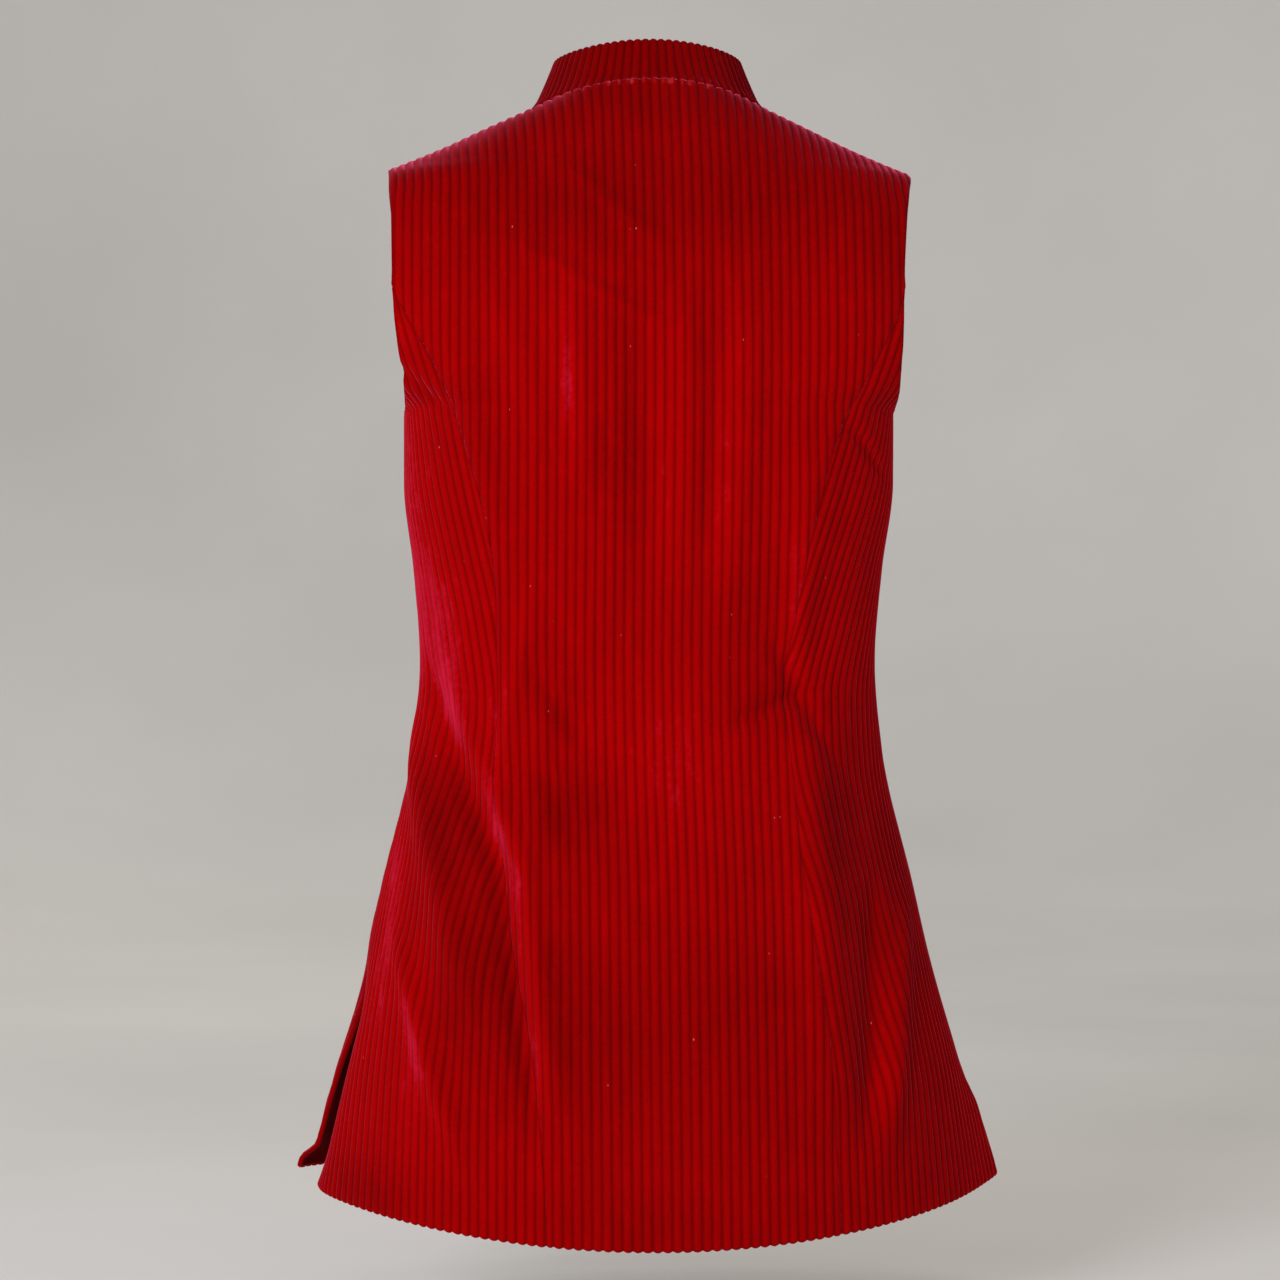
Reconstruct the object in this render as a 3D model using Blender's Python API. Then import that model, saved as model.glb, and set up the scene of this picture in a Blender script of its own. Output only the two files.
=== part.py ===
"""A long sleeveless vest of jumbo corduroy with a stand collar, filled out as if worn.

Metres, +Z up. The back faces -Y and the front +Y. The origin is midway between the two neck
points, where the collar meets the shoulders. The cloth is a thin wall on horizontal sections
of a general figure. Each cut piece is its own solid, parted from the next at the seams, and
the wales of the corduroy are raised in its outer points over a plain inside.
"""
import math
from collections import namedtuple

import bmesh
import bpy
import numpy as np
from mathutils import Vector
from mathutils.geometry import delaunay_2d_cdt

MM = 0.001

# Cloth, in millimetres
WALE_PITCH = 6.35
WALE_HEIGHT = 1.5
WALL = 1.3
SEAM_GAP = 0.3
SEAM_DIP = 1.0
SEAM_DIP_REACH = 5.0
EDGE_MARGIN = 1.3
INNER_LINE_STEP = 4

# Spacing of the wall's points, in millimetres
EDGE_CLEAR = 0.3
LEAST_STEP = 1.2
LEAST_LINE = 3.0
SEAM_ROW_CLEAR = 4.0
SAMPLE_STEP = 2.5
BORDER_HALVINGS = 12
GRAIN_REACH = 120.0
SMALL_STEP = 1.0

# Heights in millimetres below the neck points
SHOULDER_TIP = -42.0
ARMHOLE_BOTTOM = -205.0
PRINCESS_TOP = -126.0
WAIST = -370.0
SLIT_TOP = -535.0
BACK_HEM = -717.0
FRONT_HEM = -718.0
BACK_ROWS = (-30, -65, -110, -160, -205, -255, -310, -365, -420, -480, -545, -610, -670)
FRONT_ROWS = (-30, -75, -120, -165, -205, -260, -320, -385, -450, -520, -600)
EDGE_ROWS = (-5, -17, -30, -42, -43, -45, -48, -53, -60, -90, -126, -138, -148, -175, -185,
             -193, -199, -203, -230, -280, -340, -400, -450, -535, -580, -640, -700)
BELOW_SHOULDER = (1.5, 6.0, 17.0)

# Side slits, and the grain line and top of the side backs
SLIT_GAP = 27.0
SLIT_CURVE = 1.2
SIDE_GRAIN_IN = 25.0
SIDE_BACK_DROP = 6.0

# Above this height the wales run straight up and are drawn in a little at the shoulder seam
YOKE = -60.0
SHOULDER_PULL = 5.0
SHOULDER_PULL_REACH = 35.0
SHOULDER_PULL_FADE = 18.0

# Front lap
LAP = 16.0
LAP_LIFT = 2.2
LAP_SPREAD = 22.0

# Scallops of the hem and of the collar's top edge, where the wales are turned over
HEM_SCALLOP = 1.0
COLLAR_SCALLOP = 0.7

# Collar
COLLAR_HEIGHT = 35.0
COLLAR_TOP_WIDTH = 62.0
COLLAR_TOP_BACK = 51.0
COLLAR_TOP_FRONT = 55.0
COLLAR_TOP_RISE = 7.0
COLLAR_TOP_DROP = 63.0
COLLAR_FLARE = 0.85
COLLAR_FRONT_GAP = 1.5
COLLAR_CORNER = 14.0
COLLAR_ROWS = (18.0,)
COLLAR_CORNER_SHARES = (0.0, 0.35, 0.65, 0.88)
COLLAR_SLOPE_STEP = 2.0

# Buttons
BUTTON_RADIUS = 10.0
BUTTON_THICKNESS = 3.2
BUTTON_RIM = 1.6
BUTTON_DISH = 0.7
BUTTON_DISH_WALL = 1.0
BUTTON_SIDES = 16
BUTTON_SEAT_REACH = 4.0
BUTTON_TOP = -22.0
BUTTON_STEP = -82.0
BUTTON_COUNT = 7

# Horizontal sections: height, half width, depth to the back and to the front, squareness of
# the ring, and how far its centre back rises and its centre front drops. Beside the armholes
# the half width is where the ring would close, beyond the cloth's edge.
Section = namedtuple("Section", "height width back front squareness rise drop")
SECTIONS = [
    Section(0, 78, 62, 68, 2.0, 14.5, 60),
    Section(-14, 111, 72, 80, 2.0, 11, 56),
    Section(-28, 141, 81, 90, 2.05, 8, 52),
    Section(-42, 175, 88, 97, 2.1, 6, 48),
    Section(-50, 196, 92, 101, 2.2, 5, 46),
    Section(-60, 212, 96, 104, 2.3, 4, 44),
    Section(-80, 226, 101, 109, 2.5, 3, 39),
    Section(-120, 230, 107, 116, 2.6, 1, 28),
    Section(-150, 219, 110, 121, 2.8, 0, 20),
    Section(-175, 199, 111, 125, 2.9, 0, 12),
    Section(-190, 181, 111, 126, 3.0, 0, 8),
    Section(-205, 163.5, 111, 127, 3.0, 0, 5),
    Section(-250, 163.5, 107, 126, 3.0, 0, 0),
    Section(-310, 157, 99, 113, 2.6, 0, 0),
    Section(-370, 153, 92, 103, 2.3, 0, 0),
    Section(-430, 158, 104, 108, 2.1, 0, 0),
    Section(-520, 178.5, 138, 128, 2.0, 0, 0),
    Section(-570, 190, 147, 138, 2.0, -4, -2),
    Section(-650, 213, 160, 152, 2.0, -14, -8),
    Section(-725, 234, 171, 165, 2.0, -28, -14),
]

# Armholes: from the centre line out to the left and right edge across the back, and to both
# edges across the chest
Armhole = namedtuple("Armhole", "height left right chest")
ARMHOLE = [
    Armhole(-42, 175, 175, 175),
    Armhole(-50, 175, 173, 173),
    Armhole(-60, 175, 170, 171),
    Armhole(-80, 174.5, 166.5, 165),
    Armhole(-120, 174, 163.5, 158),
    Armhole(-140, 173, 163, 157),
    Armhole(-160, 171, 162.5, 158),
    Armhole(-181, 167.5, 162, 160),
    Armhole(-205, 163.5, 163.5, 163.5),
]

# Princess seams: arc length from centre back to the left and the right seam
Seam = namedtuple("Seam", "height left right")
PRINCESS = [
    Seam(-150, 164, 158),
    Seam(-175, 150, 144.5),
    Seam(-205, 138, 130),
    Seam(-235, 127, 115),
    Seam(-280, 113.5, 103),
    Seam(-330, 107.5, 93),
    Seam(-390, 107, 86),
    Seam(-450, 111, 89.5),
    Seam(-500, 109, 93),
    Seam(-550, 102.5, 100),
    Seam(-610, 88.5, 109),
    Seam(-670, 80, 114.5),
    Seam(-725, 76, 117),
]

# Lean of the wales in the side backs: how far they stray outwards from the waist
Lean = namedtuple("Lean", "height left right")
SIDE_LEAN = [
    Lean(-130, 58, 80),
    Lean(-200, 40, 60),
    Lean(-250, 28, 42),
    Lean(-300, 16.5, 25.5),
    Lean(-350, 5.5, 10),
    Lean(-395, 0, 0),
    Lean(-435, 3, 2),
    Lean(-485, 15, 12),
    Lean(-530, 27, 25),
    Lean(-590, 36, 36),
    Lean(-650, 38, 46),
    Lean(-725, 38, 47),
]

# Soft folds: signed arc length from centre back (negative on the left) and height at each end,
# half width, and height above the cloth (below it where negative)
Fold = namedtuple("Fold", "top_arc top bottom_arc bottom half_width lift")
FOLDS = [
    # left side back and the seam beside it
    Fold(-165, -385, -113, -500, 12, -6.5),
    Fold(-113, -500, -87, -640, 10, -6.5),
    Fold(-90, -505, -70, -630, 9, 3.5),
    Fold(-186, -430, -136, -570, 18, 7.0),
    Fold(-192, -560, -140, -665, 11, 5.0),
    Fold(-266, -590, -294, -720, 24, -9.0),
    Fold(-344, -707, -350, -737, 24, 9.0),
    # right side back and the seam beside it
    Fold(102, -430, 112, -630, 20, 6.0),
    Fold(156, -530, 142, -650, 11, -5.0),
    Fold(190, -540, 160, -660, 12, 5.0),
    Fold(98, -390, 54, -412, 15, -3.2),
    Fold(300, -660, 300, -740, 30, 7.0),
    # the middle of the back
    Fold(-14, -140, -7, -300, 13, -3.4),
    # the fronts
    Fold(-325, -245, -268, -355, 13, 3.0),
    Fold(-262, -395, -306, -570, 13, 4.0),
    Fold(268, -402, 322, -600, 15, 4.5),
    Fold(-352, -425, -424, -690, 19, 6.0),
    Fold(354, -432, 436, -700, 21, 6.0),
]
FOLD_RUN_OUT = 0.3
FOLD_FADE = 0.5


def smooth_curve(heights, values):
    """A function through the values that keeps their rises and falls, flat at each peak."""
    order = np.argsort(heights)
    h = np.array(heights, float)[order]
    v = np.array(values, float)[order]
    step = np.diff(h)
    slope = np.diff(v) / step
    tangent = np.zeros(len(h))
    tangent[0] = slope[0]
    tangent[-1] = slope[-1]
    for i in range(1, len(h) - 1):
        if slope[i - 1] * slope[i] > 0:
            before = 2 * step[i] + step[i - 1]
            after = step[i] + 2 * step[i - 1]
            tangent[i] = (before + after) / (before / slope[i - 1] + after / slope[i])

    def value(height):
        height = min(max(height, h[0]), h[-1])
        i = int(min(max(np.searchsorted(h, height) - 1, 0), len(step) - 1))
        t = (height - h[i]) / step[i]
        start = v[i] * (1 + 2 * t) * (1 - t) ** 2 + v[i + 1] * t * t * (3 - 2 * t)
        turn = tangent[i] * t * (1 - t) ** 2 - tangent[i + 1] * t * t * (1 - t)
        return start + turn * step[i]

    return value


def columns_of(table):
    """One smooth function of height for each column of a table but the first."""
    heights = [row[0] for row in table]
    return [smooth_curve(heights, [row[i] for row in table]) for i in range(1, len(table[0]))]


SECTION_CURVES = columns_of(SECTIONS)
RING_STEPS = 240
RINGS = {}


def superellipse(width, back, front, squareness, rise, drop, height):
    """Points of half a ring, from centre back round the right side to centre front."""
    turn = np.linspace(0, math.pi, RING_STEPS + 1)
    power = 2 / squareness
    along = np.abs(np.cos(turn)) ** power
    behind = turn <= math.pi / 2
    x = width * np.abs(np.sin(turn)) ** power
    y = np.where(behind, -back * along, front * along)
    z = height + np.where(behind, rise, -drop) * along ** 2
    return np.stack([x, y, z], axis=1)


def ring(height):
    """The half ring at a height: its arc lengths, its points and the arc at the side."""
    key = round(height, 2)
    if key not in RINGS:
        points = superellipse(*[curve(height) for curve in SECTION_CURVES], height)
        steps = np.linalg.norm(np.diff(points, axis=0), axis=1)
        arcs = np.concatenate([[0], np.cumsum(steps)])
        RINGS[key] = (arcs, points, arcs[RING_STEPS // 2])
    return RINGS[key]


def side_arc(height):
    return ring(height)[2]


def half_girth(height):
    return ring(height)[0][-1]


def on_ring(arcs, points, arc):
    """The point at a signed arc length, left of centre back where it is negative."""
    girth = arcs[-1]
    if abs(arc) > girth:
        arc = arc - math.copysign(2 * girth, arc)
    spot = np.array([np.interp(abs(arc), arcs, points[:, i]) for i in range(3)])
    if arc < 0:
        spot[0] = -spot[0]
    return spot


def bell(distance, reach):
    return math.exp(-(distance / reach) ** 2)


def ease(t):
    t = min(max(t, 0.0), 1.0)
    return t * t * (3 - 2 * t)


ACROSS_LEFT, ACROSS_RIGHT, ACROSS_CHEST = columns_of(ARMHOLE)
PRINCESS_LEFT, PRINCESS_RIGHT = columns_of(PRINCESS)
LEAN_LEFT, LEAN_RIGHT = columns_of(SIDE_LEAN)


def back_half(height):
    """Arc lengths from centre back and half widths, from centre back to the side."""
    arcs, points, side = ring(height)
    middle = RING_STEPS // 2
    return arcs[:middle + 1], points[:middle + 1, 0]


def front_half(height):
    """Arc lengths from centre front and half widths, from centre front to the side."""
    arcs, points, side = ring(height)
    middle = RING_STEPS // 2
    return (arcs[-1] - arcs[middle:])[::-1], points[middle:, 0][::-1]


def armhole_arc(height, half, across):
    """Arc length from the centre line to the armhole's edge."""
    arcs, widths = half(height)
    return float(np.interp(across(height), widths, arcs))


def back_armhole_arc(height, side):
    return armhole_arc(height, back_half, ACROSS_LEFT if side < 0 else ACROSS_RIGHT)


def princess_arc(height, side):
    """Arc length from centre back to a princess seam, which starts on the armhole's edge."""
    curve = PRINCESS_LEFT if side < 0 else PRINCESS_RIGHT
    if height >= PRINCESS[0].height:
        start = back_armhole_arc(PRINCESS_TOP, side)
        share = (PRINCESS_TOP - height) / (PRINCESS_TOP - PRINCESS[0].height)
        return start + (curve(PRINCESS[0].height) - start) * max(share, 0.0)
    return curve(height)


GRAINS = {}


def grain_table(height, half):
    """Arc lengths from the centre line, and how far across the cloth its wales lie there."""
    key = (round(height, 2), half)
    if key not in GRAINS:
        arcs, widths = half(height)
        fade = ease((height - YOKE) / SHOULDER_PULL_FADE)
        near = np.maximum(1 - (arcs[-1] - arcs) / SHOULDER_PULL_REACH, 0)
        yoke_arcs, yoke_widths = half(YOKE)
        across = np.interp(widths + SHOULDER_PULL * fade * near ** 2, yoke_widths, yoke_arcs)
        GRAINS[key] = (arcs, across)
    return GRAINS[key]


def across_cloth(arc, height, half):
    """How far across the cloth a point lies, square to the wales."""
    if height <= YOKE:
        return arc
    arcs, across = grain_table(height, half)
    return math.copysign(np.interp(abs(arc), arcs, across), arc)


def arc_across(distance, height, half):
    """The arc length of a wale that lies at a distance across the cloth."""
    if height <= YOKE:
        return distance
    arcs, across = grain_table(height, half)
    if abs(distance) > across[-1]:
        return math.copysign(arcs[-1] + abs(distance) - across[-1], distance)
    return math.copysign(np.interp(abs(distance), across, arcs), distance)


def side_lean(side):
    return LEAN_LEFT if side < 0 else LEAN_RIGHT


def fold_lift(arc, height):
    """Height of the soft folds over the even surface."""
    lift = 0.0
    for fold in FOLDS:
        t = (fold.top - height) / (fold.top - fold.bottom)
        if t < -FOLD_RUN_OUT or t > 1 + FOLD_RUN_OUT:
            continue
        middle = fold.top_arc + (fold.bottom_arc - fold.top_arc) * t
        fade = ease((t + FOLD_RUN_OUT) / FOLD_FADE) * ease((1 + FOLD_RUN_OUT - t) / FOLD_FADE)
        lift += fold.lift * fade * bell(arc - middle, fold.half_width)
    return lift


def seam_dip(arc, height):
    """How deep the cloth is drawn in beside a seam."""
    dip = 0.0
    if height < PRINCESS_TOP:
        seam = princess_arc(height, math.copysign(1, arc))
        dip = bell(abs(arc) - seam, SEAM_DIP_REACH)
    if SLIT_TOP < height < ARMHOLE_BOTTOM:
        dip = max(dip, bell(abs(arc) - side_arc(height), SEAM_DIP_REACH))
    return -SEAM_DIP * dip


def body_point(arc, height, lift):
    """A point of the garment's body, moved out from the even surface by lift."""
    arcs, points, _ = ring(height)
    low_arcs, low_points, _ = ring(height - SMALL_STEP)
    centre = on_ring(arcs, points, arc)
    across = on_ring(arcs, points, arc + SMALL_STEP) - on_ring(arcs, points, arc - SMALL_STEP)
    up = centre - on_ring(low_arcs, low_points, arc)
    normal = np.cross(across, up)
    normal /= np.linalg.norm(normal)
    total = lift + fold_lift(arc, height) + seam_dip(arc, height)
    return centre + normal * total


def wale_wave(phase):
    """0 in the valleys and 1 on the crests, straight between them."""
    return 1 - 2 * abs(phase - round(phase))


class Piece:
    """A region of cloth between two side edges, given as arc lengths at a list of heights."""

    def __init__(self, place, top, bottom, left, right, grain, rows, edge_rows):
        inner = [h for h in rows + edge_rows if bottom < h < top]
        heights = sorted(set(inner + [top, bottom]))
        self.place = place
        self.heights = np.array(heights)
        self.left = np.array([left(h) for h in heights])
        self.right = np.array([right(h) for h in heights])
        self.across, self.along = grain
        self.top = top
        self.bottom = bottom
        self.rows = [h for h in rows if bottom < h < top]

    def wave(self, arc, height):
        return wale_wave(self.across(arc, height) / WALE_PITCH)

    def line_arc(self, index, height):
        return self.along(index * WALE_PITCH / 2, height)

    def inside(self, index, height):
        arc = self.line_arc(index, height)
        low = np.interp(height, self.heights, self.left) + EDGE_MARGIN
        high = np.interp(height, self.heights, self.right) - EDGE_MARGIN
        return low <= arc <= high

    def border(self, index, kept, lost):
        """The height where a line leaves the piece, between one inside and one outside."""
        for _ in range(BORDER_HALVINGS):
            middle = (kept + lost) / 2
            if self.inside(index, middle):
                kept = middle
            else:
                lost = middle
        return kept

    def lines(self):
        """Every crest and valley line, cut to the piece."""
        reach = max(np.abs(self.left).max(), np.abs(self.right).max()) + GRAIN_REACH
        count = int(2 * reach / WALE_PITCH) + 1
        steps = int((self.top - self.bottom) / SAMPLE_STEP) + 2
        samples = np.linspace(self.bottom, self.top, steps)
        for index in range(-count, count + 1):
            flags = [self.inside(index, h) for h in samples]
            start = None
            for i, flag in enumerate(flags + [False]):
                if flag and start is None:
                    start = i
                if not flag and start is not None:
                    low = samples[start]
                    high = samples[i - 1]
                    if start > 0:
                        low = self.border(index, low, samples[start - 1])
                    if i < len(samples):
                        high = self.border(index, high, samples[i])
                    yield index, low, high
                    start = None

    def outline(self):
        """Corners of the region, round it."""
        runs = list(self.lines())
        corners = [(self.left[0], self.bottom)]
        ends = sorted(self.line_arc(i, self.bottom) for i, low, _ in runs if low == self.bottom)
        corners += [(arc, self.bottom) for arc in ends]
        corners += list(zip(self.right, self.heights))
        ends = sorted(self.line_arc(i, self.top) for i, _, high in runs if high == self.top)
        corners += [(arc, self.top) for arc in reversed(ends)]
        left = list(zip(self.left, self.heights))
        corners += list(reversed(left[1:]))
        return corners

    def stops(self, low, high):
        """Heights of a line's points: its ends, and the rows or steps between them."""
        if high - low < LEAST_LINE:
            return []
        under_seam = [high - drop for drop in BELOW_SHOULDER if high > YOKE]
        floor = min(under_seam) if under_seam else high
        between = [h for h in self.rows if h < floor - SEAM_ROW_CLEAR] + under_seam
        stops = [h for h in between if low + LEAST_STEP < h < high - LEAST_STEP]
        if low > self.bottom:
            stops.append(low)
        if high < self.top:
            stops.append(high)
        return sorted(stops)

    def inner_lines(self, step):
        """Points and edges of the crest and valley lines inside the outline."""
        points = []
        edges = []
        for index, low, high in self.lines():
            if index % step:
                continue
            stops = self.stops(low, high)
            first = len(points)
            points += [(self.line_arc(index, h), h) for h in stops]
            for i in range(first, len(points) - 1):
                if self.clear(points[i], points[i + 1]):
                    edges.append((i, i + 1))
        return points, edges

    def clear(self, start, end):
        """Whether the straight line between two points stays inside the piece."""
        for share in np.linspace(0, 1, 9):
            arc = start[0] + (end[0] - start[0]) * share
            height = start[1] + (end[1] - start[1]) * share
            low = np.interp(height, self.heights, self.left)
            high = np.interp(height, self.heights, self.right)
            if not low + EDGE_CLEAR < arc < high - EDGE_CLEAR:
                return False
        return True


PLANE_SQUEEZE = 0.25


def triangulate(outline, points, edges):
    """Triangles of the region, with the outline first in the list of places."""
    count = len(outline)
    places = list(outline) + list(points)
    flat = [Vector((arc, height * PLANE_SQUEEZE)) for arc, height in places]
    border = [(i, (i + 1) % count) for i in range(count)]
    inner = [(a + count, b + count) for a, b in edges]
    result = delaunay_2d_cdt(flat, border + inner, [list(range(count))], 1, 1e-4)
    verts, _, faces, origins = result[0], result[1], result[2], result[3]
    used = [origin[0] if origin else None for origin in origins]
    if any(index is None for index in used) or len(verts) > len(flat):
        raise ValueError("a wale line crosses the outline")
    return places, [[used[i] for i in face] for face in faces]


def facing(places, face):
    """Twice the signed area of a triangle in the plane of arc and height."""
    (a, b), (c, d), (e, f) = [places[i] for i in face]
    return (c - a) * (f - b) - (e - a) * (d - b)


def cloth_mesh(name, piece, wale_at_edge, shift):
    """A closed wall: ribbed outside, plain inside, and a rim round the outline."""
    outline = piece.outline()
    count = len(outline)
    points, edges = piece.inner_lines(1)
    outer_places, outer_faces = triangulate(outline, points, edges)
    points, edges = piece.inner_lines(INNER_LINE_STEP)
    inner_places, inner_faces = triangulate(outline, points, edges)
    mesh = bmesh.new()
    outer = []
    for i, (arc, height) in enumerate(outer_places):
        wave = piece.wave(arc, height)
        lift = WALE_HEIGHT * wave
        if i < count:
            lift *= wale_at_edge(arc, height)
        spot = piece.place(arc, height, lift + shift(arc, height))
        if i < count and height == piece.bottom and wale_at_edge(arc, height):
            spot = spot - np.array([0, 0, HEM_SCALLOP * wave])
        outer.append(mesh.verts.new(Vector(spot * MM)))
    inner = []
    for arc, height in inner_places:
        spot = piece.place(arc, height, shift(arc, height) - WALL)
        inner.append(mesh.verts.new(Vector(spot * MM)))
    for face in outer_faces:
        order = face if facing(outer_places, face) > 0 else face[::-1]
        mesh.faces.new([outer[i] for i in order])
    for face in inner_faces:
        order = face if facing(inner_places, face) < 0 else face[::-1]
        mesh.faces.new([inner[i] for i in order])
    for i in range(count):
        after = (i + 1) % count
        mesh.faces.new([outer[after], outer[i], inner[i], inner[after]])
    bmesh.ops.triangulate(mesh, faces=[f for f in mesh.faces if len(f.verts) > 3])
    return finish_mesh(name, mesh)


def finish_mesh(name, mesh):
    data = bpy.data.meshes.new(name)
    mesh.to_mesh(data)
    mesh.free()
    data.shade_smooth()
    data.set_sharp_from_angle(angle=math.radians(40))
    thing = bpy.data.objects.new(name, data)
    bpy.context.collection.objects.link(thing)
    return thing


def no_shift(arc, height):
    return 0.0


def hem_only(bottom):
    """Wales keep their height at the hem and are drawn flat at every other edge."""
    return lambda arc, height: 1.0 if height == bottom else 0.0


def slit_gap(height):
    """Opening of a side slit at a height, to each side of the side line."""
    if height >= SLIT_TOP:
        return SEAM_GAP / 2
    share = (SLIT_TOP - height) / (SLIT_TOP - BACK_HEM)
    return SEAM_GAP / 2 + SLIT_GAP * share ** SLIT_CURVE


def make_back_centre():
    def edge(height, side):
        if height >= SHOULDER_TIP:
            return side * (side_arc(height) - SEAM_GAP / 2)
        if height >= PRINCESS_TOP:
            return side * back_armhole_arc(height, side)
        return side * (princess_arc(height, side) - SEAM_GAP / 2)

    grain = (
        lambda arc, height: across_cloth(arc, height, back_half),
        lambda across, height: arc_across(across, height, back_half))
    piece = Piece(
        body_point, 0.0, BACK_HEM, lambda h: edge(h, -1), lambda h: edge(h, 1),
        grain, BACK_ROWS, EDGE_ROWS)
    return cloth_mesh("back_centre", piece, hem_only(BACK_HEM), no_shift)


def make_back_side(name, side):
    top = PRINCESS_TOP - SIDE_BACK_DROP
    middle = princess_arc(WAIST, side) + SIDE_GRAIN_IN
    lean = side_lean(side)

    def inner(height):
        return side * (princess_arc(height, side) + SEAM_GAP / 2)

    def outer(height):
        if height > ARMHOLE_BOTTOM:
            return side * back_armhole_arc(height, side)
        return side * (side_arc(height) - slit_gap(height))

    edges = (outer, inner) if side < 0 else (inner, outer)
    grain = (
        lambda arc, height: arc - side * (middle + lean(height)),
        lambda across, height: across + side * (middle + lean(height)))
    piece = Piece(body_point, top, BACK_HEM, edges[0], edges[1], grain, BACK_ROWS, EDGE_ROWS)
    return cloth_mesh(name, piece, hem_only(BACK_HEM), no_shift)


def front_point(arc, height, lift):
    """A point of the fronts, by arc length from centre front, positive on the left."""
    back_arc = half_girth(height) - abs(arc)
    return body_point(-math.copysign(back_arc, arc), height, lift)


def front_edge(height):
    """Arc length from centre front to the outer edge of a front."""
    if height >= SHOULDER_TIP:
        return half_girth(height) - side_arc(height) - SEAM_GAP / 2
    if height > ARMHOLE_BOTTOM:
        return armhole_arc(height, front_half, ACROSS_CHEST)
    return half_girth(height) - side_arc(height) - slit_gap(height)


def make_front(name, side):
    """One front, on the left (-1) or the right (1): the right one laps over the left."""
    def shift(arc, height):
        return side * LAP_LIFT * ease((LAP_SPREAD + LAP + side * arc) / LAP_SPREAD)

    if side > 0:
        edges = (lambda h: -front_edge(h), lambda h: LAP)
    else:
        edges = (lambda h: -LAP, front_edge)
    grain = (
        lambda arc, height: across_cloth(arc, height, front_half),
        lambda across, height: arc_across(across, height, front_half))
    piece = Piece(front_point, 0.0, FRONT_HEM, edges[0], edges[1], grain, FRONT_ROWS, EDGE_ROWS)
    return cloth_mesh(name, piece, hem_only(FRONT_HEM), shift)


def collar_rings():
    """The neck ring and the collar's top ring, with arcs as shares of the half girth."""
    arcs, low, _ = ring(0.0)
    high = superellipse(
        COLLAR_TOP_WIDTH, COLLAR_TOP_BACK, COLLAR_TOP_FRONT, 2.0,
        COLLAR_TOP_RISE, COLLAR_TOP_DROP, COLLAR_HEIGHT)
    steps = np.linalg.norm(np.diff(high, axis=0), axis=1)
    high_arcs = np.concatenate([[0], np.cumsum(steps)])
    return arcs, low, high_arcs * arcs[-1] / high_arcs[-1], high


COLLAR_RINGS = collar_rings()


def collar_spot(along, up):
    low_arcs, low, high_arcs, high = COLLAR_RINGS
    share = min(max(up / COLLAR_HEIGHT, 0.0), 1.0)
    base = on_ring(low_arcs, low, along)
    top = on_ring(high_arcs, high, along)
    spot = base + (top - base) * share
    spot[:2] = base[:2] + (top[:2] - base[:2]) * share ** COLLAR_FLARE
    return spot


def collar_point(arc, height, lift):
    """A point of the collar at a height up the band, by arc length on the neck seam."""
    across = collar_spot(arc + SMALL_STEP, height) - collar_spot(arc - SMALL_STEP, height)
    above = collar_spot(arc, min(height + COLLAR_SLOPE_STEP, COLLAR_HEIGHT))
    up = above - collar_spot(arc, max(height - COLLAR_SLOPE_STEP, 0))
    normal = np.cross(across, up)
    normal /= np.linalg.norm(normal)
    return collar_spot(arc, height) + normal * lift


def make_collar():
    half = ring(0.0)[0][-1] - COLLAR_FRONT_GAP

    def end(height):
        into = max(height - (COLLAR_HEIGHT - COLLAR_CORNER), 0.0) / COLLAR_CORNER
        return half - COLLAR_CORNER * (1 - math.sqrt(max(1 - into * into, 0.0)))

    corner = COLLAR_HEIGHT - COLLAR_CORNER
    edge_rows = tuple(corner + COLLAR_CORNER * share for share in COLLAR_CORNER_SHARES)
    grain = (lambda arc, height: arc, lambda across, height: across)
    piece = Piece(
        collar_point, COLLAR_HEIGHT, SEAM_GAP, lambda h: -end(h), end, grain,
        COLLAR_ROWS, edge_rows)

    def wale_at_edge(arc, height):
        return COLLAR_SCALLOP if height == COLLAR_HEIGHT else 0.0

    return cloth_mesh("collar", piece, wale_at_edge, no_shift)


def lap_crest(height, lift=0.0):
    """The top of the wale that runs down centre front on the right front's lap."""
    return front_point(0.0, height, WALE_HEIGHT + LAP_LIFT + lift)


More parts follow.
